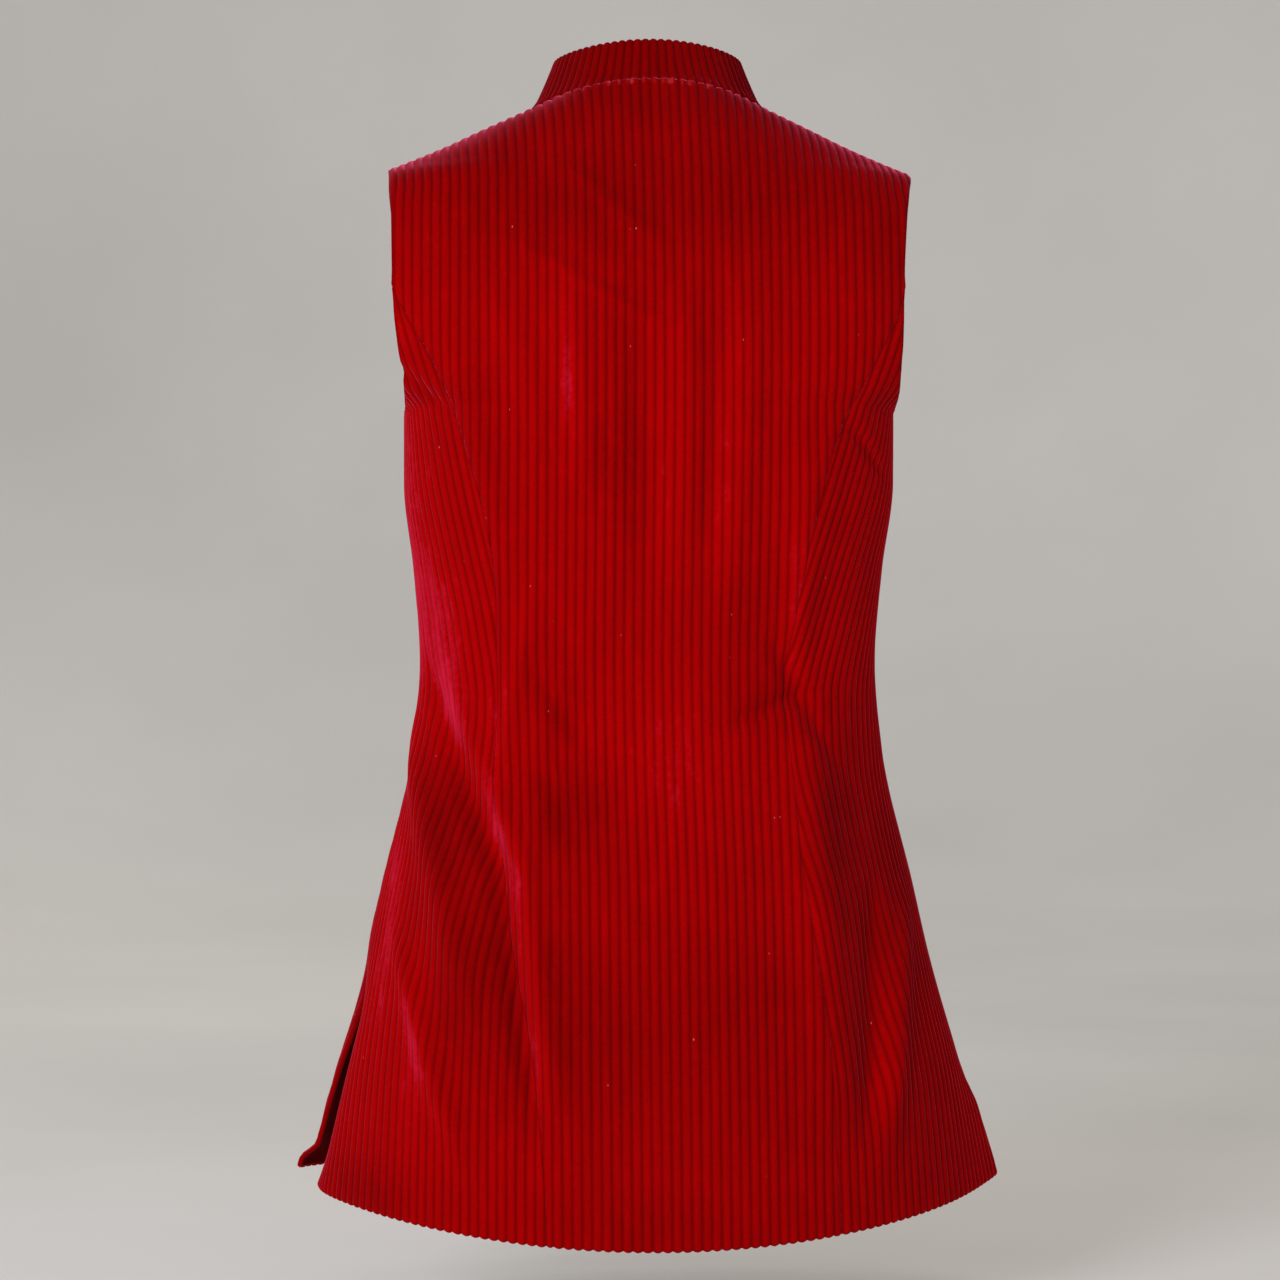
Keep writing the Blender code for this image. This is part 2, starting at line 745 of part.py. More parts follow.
def make_button(number):
    """A round sew-through button, dished inside its rim, on the right front's lap."""
    height = BUTTON_TOP + BUTTON_STEP * (number - 1)
    base = lap_crest(height)
    out = lap_crest(height, 1.0) - base
    rows = [0.0] + list(FRONT_ROWS) + [FRONT_HEM]
    seat = 0.0
    for above, below in zip(rows, rows[1:]):
        for share in np.linspace(0, 1, 9):
            spot = lap_crest(above) * (1 - share) + lap_crest(below) * share
            if np.linalg.norm(spot - base) < BUTTON_RADIUS + BUTTON_SEAT_REACH:
                seat = max(seat, float(np.dot(spot - base, out)))
    start = base + out * (seat + SEAM_GAP)
    profile = [
        (0.0, 0.0), (BUTTON_RADIUS, 0.0), (BUTTON_RADIUS, BUTTON_THICKNESS),
        (BUTTON_RADIUS - BUTTON_RIM, BUTTON_THICKNESS),
        (BUTTON_RADIUS - BUTTON_RIM - BUTTON_DISH_WALL, BUTTON_THICKNESS - BUTTON_DISH),
        (0.0, BUTTON_THICKNESS - BUTTON_DISH),
    ]
    mesh = bmesh.new()
    verts = [mesh.verts.new((r * MM, 0, z * MM)) for r, z in profile]
    for a, b in zip(verts, verts[1:]):
        mesh.edges.new((a, b))
    bmesh.ops.spin(
        mesh, geom=mesh.verts[:] + mesh.edges[:], cent=(0, 0, 0), axis=(0, 0, 1),
        angle=2 * math.pi, steps=BUTTON_SIDES, use_duplicate=False)
    bmesh.ops.remove_doubles(mesh, verts=mesh.verts[:], dist=1e-6)
    bmesh.ops.recalc_face_normals(mesh, faces=mesh.faces[:])
    bmesh.ops.triangulate(mesh, faces=mesh.faces[:])
    thing = finish_mesh("button_%d" % number, mesh)
    thing.rotation_mode = "QUATERNION"
    thing.rotation_quaternion = Vector((0, 0, 1)).rotation_difference(Vector(out))
    thing.location = Vector(start * MM)
    return thing


def material(name, colour, roughness):
    made = bpy.data.materials.new(name)
    made.use_nodes = True
    shader = made.node_tree.nodes["Principled BSDF"]
    shader.inputs["Base Color"].default_value = (*colour, 1)
    shader.inputs["Roughness"].default_value = roughness
    shader.inputs["Metallic"].default_value = 0.0
    return made


def main():
    for thing in list(bpy.data.objects):
        bpy.data.objects.remove(thing, do_unlink=True)
    corduroy = material("corduroy", (0.37, 0.003, 0.004), 0.9)
    horn = material("button", (0.16, 0.01, 0.01), 0.45)
    cloth = [
        make_back_centre(),
        make_back_side("back_side_left", -1),
        make_back_side("back_side_right", 1),
        make_front("front_left", -1),
        make_front("front_right", 1),
        make_collar(),
    ]
    for thing in cloth:
        thing.data.materials.append(corduroy)
    for number in range(1, BUTTON_COUNT + 1):
        make_button(number).data.materials.append(horn)


main()
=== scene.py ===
"""A long sleeveless vest of jumbo corduroy with a stand collar, dressed over its solids.

Lengths are in millimetres until a mesh is made. Every cloth piece is a thin closed shell on
its solid's form: rounded wales outside, the plain woven back of the cloth inside. A place on
the cloth is given by its arc length round the body and its height below the neck points.
"""
import math
from collections import namedtuple

import bmesh
import bpy
import numpy as np
from mathutils import Matrix, Vector


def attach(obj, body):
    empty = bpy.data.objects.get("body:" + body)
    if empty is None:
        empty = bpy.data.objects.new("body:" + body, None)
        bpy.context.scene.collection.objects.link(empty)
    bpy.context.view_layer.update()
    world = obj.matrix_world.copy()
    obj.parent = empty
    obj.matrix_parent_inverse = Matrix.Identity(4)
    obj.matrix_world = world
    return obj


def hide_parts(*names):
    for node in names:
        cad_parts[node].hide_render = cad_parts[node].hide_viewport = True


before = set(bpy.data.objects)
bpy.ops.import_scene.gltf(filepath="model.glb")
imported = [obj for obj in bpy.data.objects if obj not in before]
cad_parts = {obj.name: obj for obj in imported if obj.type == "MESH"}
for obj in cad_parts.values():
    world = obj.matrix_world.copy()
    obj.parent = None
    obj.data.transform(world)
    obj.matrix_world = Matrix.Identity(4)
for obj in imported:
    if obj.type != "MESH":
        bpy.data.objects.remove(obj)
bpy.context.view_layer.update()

MM = 0.001

# Cloth: the edges at a seam are pressed together, and the pile stands lower beside them
WALE_PITCH = 6.35
WALE_HEIGHT = 1.25
WALL = 1.3
SEAM_PRESS = 0.06
SEAM_DIP = 0.7
SEAM_DIP_REACH = 4.0
SEAM_PILE = 0.35
SEAM_FADE = 0.7
EDGE_FADE = 2.6
TURNING = 1.6
TURNED_HEM = 24.0
TURNED_EDGE = 12.0
TURNED_STEP = 2.0

# How closely the cloth is meshed: where columns stand across half a wale, and from row to row
WALE_STOPS = (0.0, 0.16, 0.34, 0.6, 1.0)
SPARE_WALES = 60.0
EDGE_SPACE = 0.1
INNER_STEP = 4
INNER_PILE = 0.5
PILE_SLOT = 0
WOVEN_SLOT = 1
ROW_STEP = 4.0
NECK_ROW_STEP = 2.0

# Heights below the neck points
SHOULDER_TIP = -42.0
ARMHOLE_BOTTOM = -205.0
PRINCESS_TOP = -126.0
WAIST = -370.0
SLIT_TOP = -535.0
BACK_HEM = -717.0
FRONT_HEM = -718.0

# Rows set close where an edge turns: at the neck, below the shoulder's tip, at the top of the
# princess seams and at the bottom of the armholes
CLOSE_ROWS = (
    -0.8, -2.0, -4.0,
    -42.15, -42.4, -42.8, -43.4, -44.2, -45.2, -46.5, -48, -50, -52.5,
    -126.2, -127, -128, -129.5, -131, -133,
    -190, -193, -196, -198.5, -200.5, -202, -203.2, -204.1, -204.7, -205,
)

# Side slits, and the grain line of the side backs
SLIT_GAP = 27.0
SLIT_CURVE = 1.2
SIDE_GRAIN_IN = 25.0
SIDE_BACK_DROP = 1.2

# Lengths over which a seam becomes a turned edge
PRINCESS_TURN = 12.0
ARMHOLE_TURN = 6.0
SHOULDER_TURN = 3.0
SLIT_TURN = 24.0

# Above this height the wales run straight up and are drawn in a little at the shoulder seam
YOKE = -60.0
SHOULDER_PULL = 5.0
SHOULDER_PULL_REACH = 35.0
SHOULDER_PULL_FADE = 18.0

# Front lap
LAP = 16.0
LAP_LIFT = 2.2
LAP_OVER = 3.0
LAP_SPREAD = 22.0
OFF_CENTRE = 0.01

# Collar
COLLAR_HEIGHT = 35.0
COLLAR_TOP_WIDTH = 62.0
COLLAR_TOP_BACK = 51.0
COLLAR_TOP_FRONT = 55.0
COLLAR_TOP_SQUARENESS = 2.0
COLLAR_TOP_RISE = 7.0
COLLAR_TOP_DROP = 63.0
COLLAR_FLARE = 0.85
COLLAR_FRONT_GAP = 1.5
COLLAR_CORNER = 14.0
COLLAR_THICKNESS = 2.6
COLLAR_OVER_SEAM = 0.9
COLLAR_OVER_REACH = 7.0

# Buttons
BUTTON_RADIUS = 10.0
BUTTON_THICKNESS = 3.2
BUTTON_RIM = 1.6
BUTTON_SLOPE = 1.0
BUTTON_DISH = 0.7
BUTTON_BOWL = 2.6
BUTTON_BOWL_DEPTH = 0.15
BUTTON_EDGE = 0.45
BUTTON_HOLES = 4
HOLE_RADIUS = 0.9
HOLE_CIRCLE = 2.0
BUTTON_TOP = -22.0
BUTTON_STEP = -82.0
BUTTON_COUNT = 7
BUTTON_LIFT = 0.5

# Thread on a button: two bars of three strands each, and a wound stem
STRAND_RADIUS = 0.26
STRAND_LOOP = 1.45
STRAND_FLATNESS = 0.62
STRAND_STEP = 0.42
STRAND_SUNK = 0.15
BAR_OFFSET = 1.42
STEM_RADIUS = 1.9
STEM_LENGTH = 3.4
STEM_MIDDLE = -1.2

# Worked buttonholes
BUTTONHOLE_HALF = 8.6
BUTTONHOLE_END = 2.4
BUTTONHOLE_LIFT = -0.5
STITCH_RADIUS = 0.75
STITCH_COUNT = 48
STITCH_HEIGHT = 0.8
STITCH_WAVE = 0.25

# Colours
PILE_DARK = "5A0000"
PILE_LIGHT = "B00002"
# pink of painted sheen where the painted light runs high, and of crushed spots
PILE_RUBBED_AND_SHEEN = "D02C58"
PILE_PRESSED = "C23038"
# painted shade: the pile's colour is darkened by this where the pile stands low, in wale valleys
# and beside seams
VALLEY_SHADE = "CECECE"
LINT = "D8A0A0"
WOVEN_DARK = "3E0002"
WOVEN_LIGHT = "5C0106"
RESIN_DARK = "6A060C"
RESIN_LIGHT = "94121A"
THREAD_DARK = "5A0206"
THREAD_LIGHT = "92060C"
PAPER_DARK = "B7B5B1"
PAPER_LIGHT = "C1BEBA"
AIR = "E6E8EC"
SHEEN = 0.8
SHEEN_SPREAD = 0.28
SHEEN_TINT = "FF6088"

# Patterns in the pile, as repeats to the metre across and along the wales
FIBRES = (1500, 900, 1)
TUFTS = (330, 260, 1)
SPOTS = (158, 55, 1)
STREAKS = (158, 16, 1)
LINT_SPECKS = (260, 120, 1)

# Camera and picture
PICTURE = 1280
CAMERA_DISTANCE = 2500.0
CAMERA_TURN = 4.4
CAMERA_HEIGHT = -356.6
FOCAL_PIXELS = 3688.0
PICTURE_SHIFT = 7.5

# Half rings round the body: the corners' squareness, and how far each ring rises behind and
# drops in front
Section = namedtuple("Section", "height width back front squareness rise drop")
SECTIONS = [
    Section(0, 78, 62, 68, 2.0, 14.5, 60),
    Section(-14, 111, 72, 80, 2.0, 11, 56),
    Section(-28, 141, 81, 90, 2.05, 8, 52),
    Section(-42, 175, 88, 97, 2.1, 6, 48),
    Section(-50, 196, 92, 101, 2.2, 5, 46),
    Section(-60, 212, 96, 104, 2.3, 4, 44),
    Section(-80, 226, 101, 109, 2.5, 3, 39),
    Section(-120, 230, 107, 116, 2.6, 1, 28),
    Section(-150, 219, 110, 121, 2.8, 0, 20),
    Section(-175, 199, 111, 125, 2.9, 0, 12),
    Section(-190, 181, 111, 126, 3.0, 0, 8),
    Section(-205, 163.5, 111, 127, 3.0, 0, 5),
    Section(-250, 163.5, 107, 126, 3.0, 0, 0),
    Section(-310, 157, 99, 113, 2.6, 0, 0),
    Section(-370, 153, 92, 103, 2.3, 0, 0),
    Section(-430, 158, 104, 108, 2.1, 0, 0),
    Section(-520, 178.5, 138, 128, 2.0, 0, 0),
    Section(-570, 190, 147, 138, 2.0, -4, -2),
    Section(-650, 213, 160, 152, 2.0, -14, -8),
    Section(-725, 234, 171, 165, 2.0, -28, -14),
]

# Distance of the armholes' edges from the middle plane: left and right behind, and in front
Armhole = namedtuple("Armhole", "height left right chest")
ARMHOLE = [
    Armhole(-42, 175, 175, 175),
    Armhole(-50, 175, 173, 173),
    Armhole(-60, 175, 170, 171),
    Armhole(-80, 174.5, 166.5, 165),
    Armhole(-120, 174, 163.5, 158),
    Armhole(-140, 173, 163, 157),
    Armhole(-160, 171, 162.5, 158),
    Armhole(-181, 167.5, 162, 160),
    Armhole(-205, 163.5, 163.5, 163.5),
]

# Arc lengths from centre back to the princess seams
Seam = namedtuple("Seam", "height left right")
PRINCESS = [
    Seam(-150, 164, 158),
    Seam(-175, 150, 144.5),
    Seam(-205, 138, 130),
    Seam(-235, 127, 115),
    Seam(-280, 113.5, 103),
    Seam(-330, 107.5, 93),
    Seam(-390, 107, 86),
    Seam(-450, 111, 89.5),
    Seam(-500, 109, 93),
    Seam(-550, 102.5, 100),
    Seam(-610, 88.5, 109),
    Seam(-670, 80, 114.5),
    Seam(-725, 76, 117),
]

# How far the wales of the side backs lean away from centre back
Lean = namedtuple("Lean", "height left right")
SIDE_LEAN = [
    Lean(-130, 58, 80),
    Lean(-200, 40, 60),
    Lean(-250, 28, 42),
    Lean(-300, 16.5, 25.5),
    Lean(-350, 5.5, 10),
    Lean(-395, 0, 0),
    Lean(-435, 3, 2),
    Lean(-485, 15, 12),
    Lean(-530, 27, 25),
    Lean(-590, 36, 36),
    Lean(-650, 38, 46),
    Lean(-725, 38, 47),
]

# Soft folds and finer creases: signed arc length from centre back (negative on the left) and
# height at each end, half width, and height above the cloth (below it where negative)
Fold = namedtuple("Fold", "top_arc top bottom_arc bottom half_width lift")
FOLDS = [
    # left side back and the seam beside it
    Fold(-165, -385, -113, -500, 12, -6.5),
    Fold(-113, -500, -87, -640, 10, -6.5),
    Fold(-128, -415, -90, -505, 9, 2.5),
    Fold(-90, -505, -70, -630, 9, 3.5),
    Fold(-88, -350, -104, -440, 7, 2.4),
    Fold(-186, -430, -136, -570, 18, 7.0),
    Fold(-192, -560, -140, -665, 11, 5.0),
    Fold(-136, -156, -106, -290, 11, 2.6),
    Fold(-266, -590, -294, -720, 24, -9.0),
    Fold(-344, -707, -350, -737, 24, 9.0),
    # right side back and the seam beside it
    Fold(102, -430, 112, -630, 20, 6.0),
    Fold(156, -530, 142, -650, 11, -5.0),
    Fold(190, -540, 160, -660, 12, 5.0),
    Fold(112, -230, 98, -340, 13, 2.6),
    Fold(98, -390, 54, -412, 15, -3.2),
    Fold(80, -362, 116, -428, 9, -3.2),
    Fold(132, -218, 160, -244, 7, -2.6),
    Fold(300, -660, 300, -740, 30, 7.0),
    # long ripples down the middle of the back
    Fold(-56, -130, -48, -250, 9, 2.8),
    Fold(-97, -150, -79, -225, 11, 2.2),
    Fold(-14, -140, -7, -300, 13, -3.4),
    Fold(17, -140, 18, -275, 9, 2.2),
    Fold(38, -136, 33, -310, 8, -2.2),
    Fold(61, -140, 48, -320, 11, 2.6),
    Fold(95, -245, 93, -365, 10, 2.4),
    Fold(-78, -380, -50, -425, 9, -2.6),
    Fold(-74, -445, -60, -485, 10, -2.2),
    # short drags across the shoulders and under the left arm
    Fold(-50, -58, -6, -98, 10, 2.0),
    Fold(-86, -104, -4, -150, 11, 2.0),
    Fold(-176, -178, -150, -202, 7, -2.4),
    # the fronts
    Fold(-325, -245, -268, -355, 13, 3.0),
    Fold(322, -252, 262, -350, 12, 2.8),
    Fold(-262, -395, -306, -570, 13, 4.0),
    Fold(268, -402, 322, -600, 15, 4.5),
    Fold(-352, -425, -424, -690, 19, 6.0),
    Fold(354, -432, 436, -700, 21, 6.0),
    Fold(-388, -305, -330, -378, 9, 2.4),
    Fold(386, -318, 332, -380, 8, 2.2),
]
# Shares of a fold's length: how far it runs on past each end, and over what it dies away
FOLD_RUN_OUT = 0.3
FOLD_FADE = 0.5

# Patches of painted light and shade on the pile: painted shade on the yoke, the lower back,
# the right side and the hollows beside folds, painted highlight and sheen on the left flank and
# along lit folds. For each, its middle by arc length and height, half its width and height,
# and how far it leans to the light (above 0), painted lighter, or to the dark, painted darker
Nap = namedtuple("Nap", "arc height half_width half_height lean")
PAINTED_LIGHT_PATCHES = [
    Nap(0, -8, 120, 26, -0.22),
    Nap(0, -70, 190, 35, -0.16),
    Nap(-120, -110, 60, 50, -0.08),
    Nap(-140, -190, 40, 50, -0.05),
    Nap(-60, -170, 18, 70, 0.05),
    Nap(-20, -230, 12, 90, -0.10),
    Nap(10, -300, 60, 60, 0.05),
    Nap(8, -440, 42, 58, 0.22),
    Nap(-66, -400, 16, 30, -0.16),
    Nap(-64, -466, 20, 26, -0.16),
    Nap(75, -395, 34, 20, -0.12),
    Nap(-190, -300, 50, 130, 0.30),
    Nap(-150, -405, 12, 45, 0.20),
    Nap(-112, -465, 9, 50, 0.14),
    Nap(92, -340, 6, 50, 0.13),
    Nap(-160, -470, 26, 60, -0.26),
    Nap(-136, -560, 26, 55, -0.12),
    Nap(122, -470, 26, 60, -0.20),
    Nap(0, -590, 150, 90, -0.15),
    Nap(0, -705, 240, 16, -0.05),
    Nap(-215, -600, 40, 80, 0.08),
    Nap(-212, -535, 13, 55, 0.17),
    Nap(-172, -610, 12, 55, 0.17),
    Nap(-93, -540, 8, 60, 0.16),
    Nap(-83, -620, 7, 50, 0.13),
    Nap(-62, -215, 5, 45, 0.09),
    Nap(-210, -706, 30, 18, -0.14),
    Nap(185, -570, 40, 90, -0.16),
    Nap(196, -690, 50, 40, -0.06),
    Nap(155, -115, 24, 70, -0.14),
]
# painted light and shade on the folds: slopes that face left, towards the key lamp, painted
# lighter, those that face right darker
PAINTED_LIGHT_BY_SLOPE = 0.2
# painted shade: the collar's pile painted darker all over
COLLAR_PAINTED_SHADE = -0.31


def smooth_curve(heights, values):
    """A function through the values that keeps their rises and falls, flat at each peak."""
    order = np.argsort(heights)
    h = np.array(heights, float)[order]
    v = np.array(values, float)[order]
    step = np.diff(h)
    slope = np.diff(v) / step
    tangent = np.zeros(len(h))
    tangent[0] = slope[0]
    tangent[-1] = slope[-1]
    for i in range(1, len(h) - 1):
        if slope[i - 1] * slope[i] > 0:
            before = 2 * step[i] + step[i - 1]
            after = step[i] + 2 * step[i - 1]
            tangent[i] = (before + after) / (before / slope[i - 1] + after / slope[i])

    def value(height):
        height = min(max(height, h[0]), h[-1])
        i = int(min(max(np.searchsorted(h, height) - 1, 0), len(step) - 1))
        t = (height - h[i]) / step[i]
        start = v[i] * (1 + 2 * t) * (1 - t) ** 2 + v[i + 1] * t * t * (3 - 2 * t)
        turn = tangent[i] * t * (1 - t) ** 2 - tangent[i + 1] * t * t * (1 - t)
        return start + turn * step[i]

    return value


def columns_of(table):
    """One smooth function of height for each column of a table but the first."""
    heights = [row[0] for row in table]
    return [smooth_curve(heights, [row[i] for row in table]) for i in range(1, len(table[0]))]


SECTION_CURVES = columns_of(SECTIONS)
ACROSS_LEFT, ACROSS_RIGHT, ACROSS_CHEST = columns_of(ARMHOLE)
PRINCESS_LEFT, PRINCESS_RIGHT = columns_of(PRINCESS)
LEAN_LEFT, LEAN_RIGHT = columns_of(SIDE_LEAN)
RING_STEPS = 240
RINGS = {}


def superellipse(width, back, front, squareness, rise, drop, height):
    """Points of half a ring, from centre back round the right side to centre front."""
    turn = np.linspace(0, math.pi, RING_STEPS + 1)
    power = 2 / squareness
    along = np.abs(np.cos(turn)) ** power
    behind = turn <= math.pi / 2
    x = width * np.abs(np.sin(turn)) ** power
    y = np.where(behind, -back * along, front * along)
    z = height + np.where(behind, rise, -drop) * along ** 2
    return np.stack([x, y, z], axis=1)


def ring(height):
    """The half ring at a height: its arc lengths, its points and the arc at the side."""
    key = round(height, 2)
    if key not in RINGS:
        points = superellipse(*[curve(height) for curve in SECTION_CURVES], height)
        steps = np.linalg.norm(np.diff(points, axis=0), axis=1)
        arcs = np.concatenate([[0], np.cumsum(steps)])
        RINGS[key] = (arcs, points, arcs[RING_STEPS // 2])
    return RINGS[key]


def side_arc(height):
    return ring(height)[2]


def half_girth(height):
    return ring(height)[0][-1]


def on_ring(arcs, points, arc):
    """Points at signed arc lengths, left of centre back where they are negative."""
    girth = arcs[-1]
    arc = np.where(np.abs(arc) > girth, arc - np.sign(arc) * 2 * girth, arc)
    spot = np.stack([np.interp(np.abs(arc), arcs, points[:, i]) for i in range(3)], axis=-1)
    spot[..., 0] *= np.where(arc < 0, -1, 1)
    return spot


def bell(distance, reach):
    return np.exp(-(distance / reach) ** 2)


def ease(t):
    t = np.clip(t, 0.0, 1.0)
    return t * t * (3 - 2 * t)


def back_half(height):
    """Arc lengths from centre back and half widths, from centre back to the side."""
    arcs, points, _ = ring(height)
    middle = RING_STEPS // 2
    return arcs[:middle + 1], points[:middle + 1, 0]


def front_half(height):
    """Arc lengths from centre front and half widths, from centre front to the side."""
    arcs, points, _ = ring(height)
    middle = RING_STEPS // 2
    return (arcs[-1] - arcs[middle:])[::-1], points[middle:, 0][::-1]


def armhole_arc(height, half, across):
    """Arc length from the centre line to the armhole's edge, on a back or a front half."""
    arcs, widths = half(height)
    return float(np.interp(across(height), widths, arcs))


def back_armhole_arc(height, side):
    return armhole_arc(height, back_half, ACROSS_LEFT if side < 0 else ACROSS_RIGHT)


def princess_arc(height, side):
    """Arc length from centre back to a princess seam, which starts on the armhole's edge."""
    curve = PRINCESS_LEFT if side < 0 else PRINCESS_RIGHT
    if height >= PRINCESS[0].height:
        start = back_armhole_arc(PRINCESS_TOP, side)
        share = (PRINCESS_TOP - height) / (PRINCESS_TOP - PRINCESS[0].height)
        return start + (curve(PRINCESS[0].height) - start) * max(share, 0.0)
    return curve(height)


def arc_across(distance, height, half):
    """Arc lengths of wales that lie at given distances across the cloth."""
    if height <= YOKE:
        return distance
    arcs, widths = half(height)
    fade = ease((height - YOKE) / SHOULDER_PULL_FADE)
    near = np.maximum(1 - (arcs[-1] - arcs) / SHOULDER_PULL_REACH, 0)
    yoke_arcs, yoke_widths = half(YOKE)
    across = np.interp(widths + SHOULDER_PULL * fade * near ** 2, yoke_widths, yoke_arcs)
    far = np.abs(distance)
    inside = np.interp(far, across, arcs)
    return np.sign(distance) * np.where(far > across[-1], arcs[-1] + far - across[-1], inside)


def fold_lift(arc, height):
    """Height of the soft folds over the even surface."""
    lift = np.zeros_like(arc)
    for fold in FOLDS:
        t = (fold.top - height) / (fold.top - fold.bottom)
        if -FOLD_RUN_OUT < t < 1 + FOLD_RUN_OUT:
            middle = fold.top_arc + (fold.bottom_arc - fold.top_arc) * t
            fade = ease((t + FOLD_RUN_OUT) / FOLD_FADE)
            fade = fade * ease((1 + FOLD_RUN_OUT - t) / FOLD_FADE)
            lift += fold.lift * fade * bell(arc - middle, fold.half_width)
    return lift


def seam_dip(arc, height):
    """How deep the cloth is drawn in beside a seam."""
    dip = np.zeros_like(arc)
    if height < PRINCESS_TOP:
        seam = np.where(arc < 0, princess_arc(height, -1), princess_arc(height, 1))
        dip = bell(np.abs(arc) - seam, SEAM_DIP_REACH)
    if SLIT_TOP < height < ARMHOLE_BOTTOM:
        dip = np.maximum(dip, bell(np.abs(arc) - side_arc(height), SEAM_DIP_REACH))
    return -SEAM_DIP * dip


def body_frame(arc, height):
    """Points of the folded cloth under its wales, and the even surface's outward normals."""
    here = ring(height)
    below = ring(height - 1.0)
    centre = on_ring(here[0], here[1], arc)
    across = on_ring(here[0], here[1], arc + 1) - on_ring(here[0], here[1], arc - 1)
    up = centre - on_ring(below[0], below[1], arc)
    normal = np.cross(across, up)
    normal /= np.linalg.norm(normal, axis=-1, keepdims=True)
    return centre + normal * (fold_lift(arc, height) + seam_dip(arc, height))[:, None], normal


def front_to_back(arc, height):
    """Arc length from centre back, for one from centre front that is positive on the left."""
    return np.where(arc > 0, -1, 1) * (half_girth(height) - np.abs(arc))


def front_frame(arc, height):
    """The same on the fronts, by arc length from centre front, positive on the left."""
    return body_frame(front_to_back(arc, height), height)


def body_painted_light(arc, height):
    """Painted light and shade, as a lean of the pile: the listed patches, and slopes of the
    folds painted lighter where they face left and darker where they face right.
    """
    lean = np.zeros_like(arc)
    for nap in PAINTED_LIGHT_PATCHES:
        lean += nap.lean * bell(height - nap.height, nap.half_height) * bell(
            arc - nap.arc, nap.half_width)
    slope = (fold_lift(arc + 1, height) - fold_lift(arc - 1, height)) / 2
    return lean + PAINTED_LIGHT_BY_SLOPE * slope


# The same painted light and shade on the fronts
def front_painted_light(arc, height):
    return body_painted_light(front_to_back(arc, height), height)


def slit_gap(height):
    """Opening of a side slit at a height, to each side of the side line."""
    if height >= SLIT_TOP:
        return -SEAM_PRESS
    share = (SLIT_TOP - height) / (SLIT_TOP - BACK_HEM)
    return SLIT_GAP * share ** SLIT_CURVE


# One cut piece, by functions of arc or height: frame gives points and normals, left and right
# the side edges, along the arcs of the wales, shift the lift over the body's form, turned_left
# and turned_right how far a side edge is a turned one and no seam, and the last how the pile
# leans, which is painted light and shade
Cut = namedtuple("Cut", "frame top bottom left right along shift turned_left turned_right nap")


def wale_columns(reach):
    """Distances across the cloth of every column, and how high the pile stands there."""
    count = int(reach / WALE_PITCH) + 2
    half = np.array(WALE_STOPS)
    shares = np.concatenate([half / 2, 1 - half[::-1][1:-1] / 2])
    pile = np.concatenate([half, half[::-1][1:-1]])
    distances = np.concatenate([(k - 0.5 + shares) * WALE_PITCH for k in range(-count, count)])
    rounded = np.sin(pile * math.pi / 2)
    return distances, np.tile(rounded, 2 * count)


def row_heights(cut):
    """Heights of a piece's rows of vertices, closer where an edge turns or a neck is near."""
    count = int((cut.top - cut.bottom) / ROW_STEP)
    even = np.linspace(cut.bottom, cut.top, count + 1)
    close = [h for h in CLOSE_ROWS if cut.bottom < h < cut.top]
    neck = np.arange(max(cut.bottom, YOKE), cut.top, NECK_ROW_STEP) if cut.top >= 0 else []
    return sorted(set(np.round(np.concatenate([even, close, neck]), 2)))


class Shell:
    """Vertices and faces of one cloth piece as they are made. Each vertex keeps its place on the
    flat cloth, how high the pile stands there, and the painted light and shade on its pile."""

    def __init__(self):
        self.points = []
        self.uvs = []
        self.piles = []
        self.naps_and_painted_light = []
        self.faces = []
        self.slots = []
        self.count = 0

    def add(self, points, uvs, pile, nap):
        first = self.count
        self.points.append(points)
        self.uvs.append(uvs)
        self.piles.append(pile)
        self.naps_and_painted_light.append(nap)
        self.count += len(points)
        return np.arange(first, self.count)

    def grid(self, rows, slot):
        """Quads between rows of the same length, where ends may share a vertex."""
        for low, high in zip(rows, rows[1:]):
            quads = np.stack([low[:-1], low[1:], high[1:], high[:-1]], axis=1)
            for quad in quads.tolist():
                face = [v for i, v in enumerate(quad) if v != quad[i - 1]]
                if len(set(face)) >= 3:
                    self.faces.append(face)
                    self.slots.append(slot)

    def bridge(self, one, other, slot):
        """A strip of triangles between two lines of vertices with unlike counts."""
        one = unique_run(one)
        other = unique_run(other)
        i = j = 0
        while i < len(one) - 1 or j < len(other) - 1:
            near = i / max(len(one) - 1, 1)
            far = j / max(len(other) - 1, 1)
            if j == len(other) - 1 or (i < len(one) - 1 and near <= far):
                self.faces.append([one[i], one[i + 1], other[j]])
                i += 1
            else:
                self.faces.append([one[i], other[j + 1], other[j]])
                j += 1
            self.slots.append(slot)

    def build(self, name, materials):
        mesh = bpy.data.meshes.new(name)
        points = np.concatenate(self.points) * MM
        mesh.from_pydata(points.tolist(), [], self.faces)
        mesh.validate()
        corners = np.zeros(len(mesh.loops), dtype=np.int32)
        mesh.loops.foreach_get("vertex_index", corners)
        uvs = np.concatenate(self.uvs)[corners] * MM
        mesh.uv_layers.new(name="grain").data.foreach_set("uv", uvs.ravel())
        # the second attribute holds the painted light and shade
        for key, values in (("pile", self.piles), ("nap", self.naps_and_painted_light)):
            layer = mesh.attributes.new(key, "FLOAT", "POINT")
            layer.data.foreach_set("value", np.concatenate(values))
        for material in materials:
            mesh.materials.append(material)
        mesh.polygons.foreach_set("material_index", self.slots)
        mesh.shade_smooth()
        thing = bpy.data.objects.new(name, mesh)
        bpy.context.collection.objects.link(thing)
        return thing


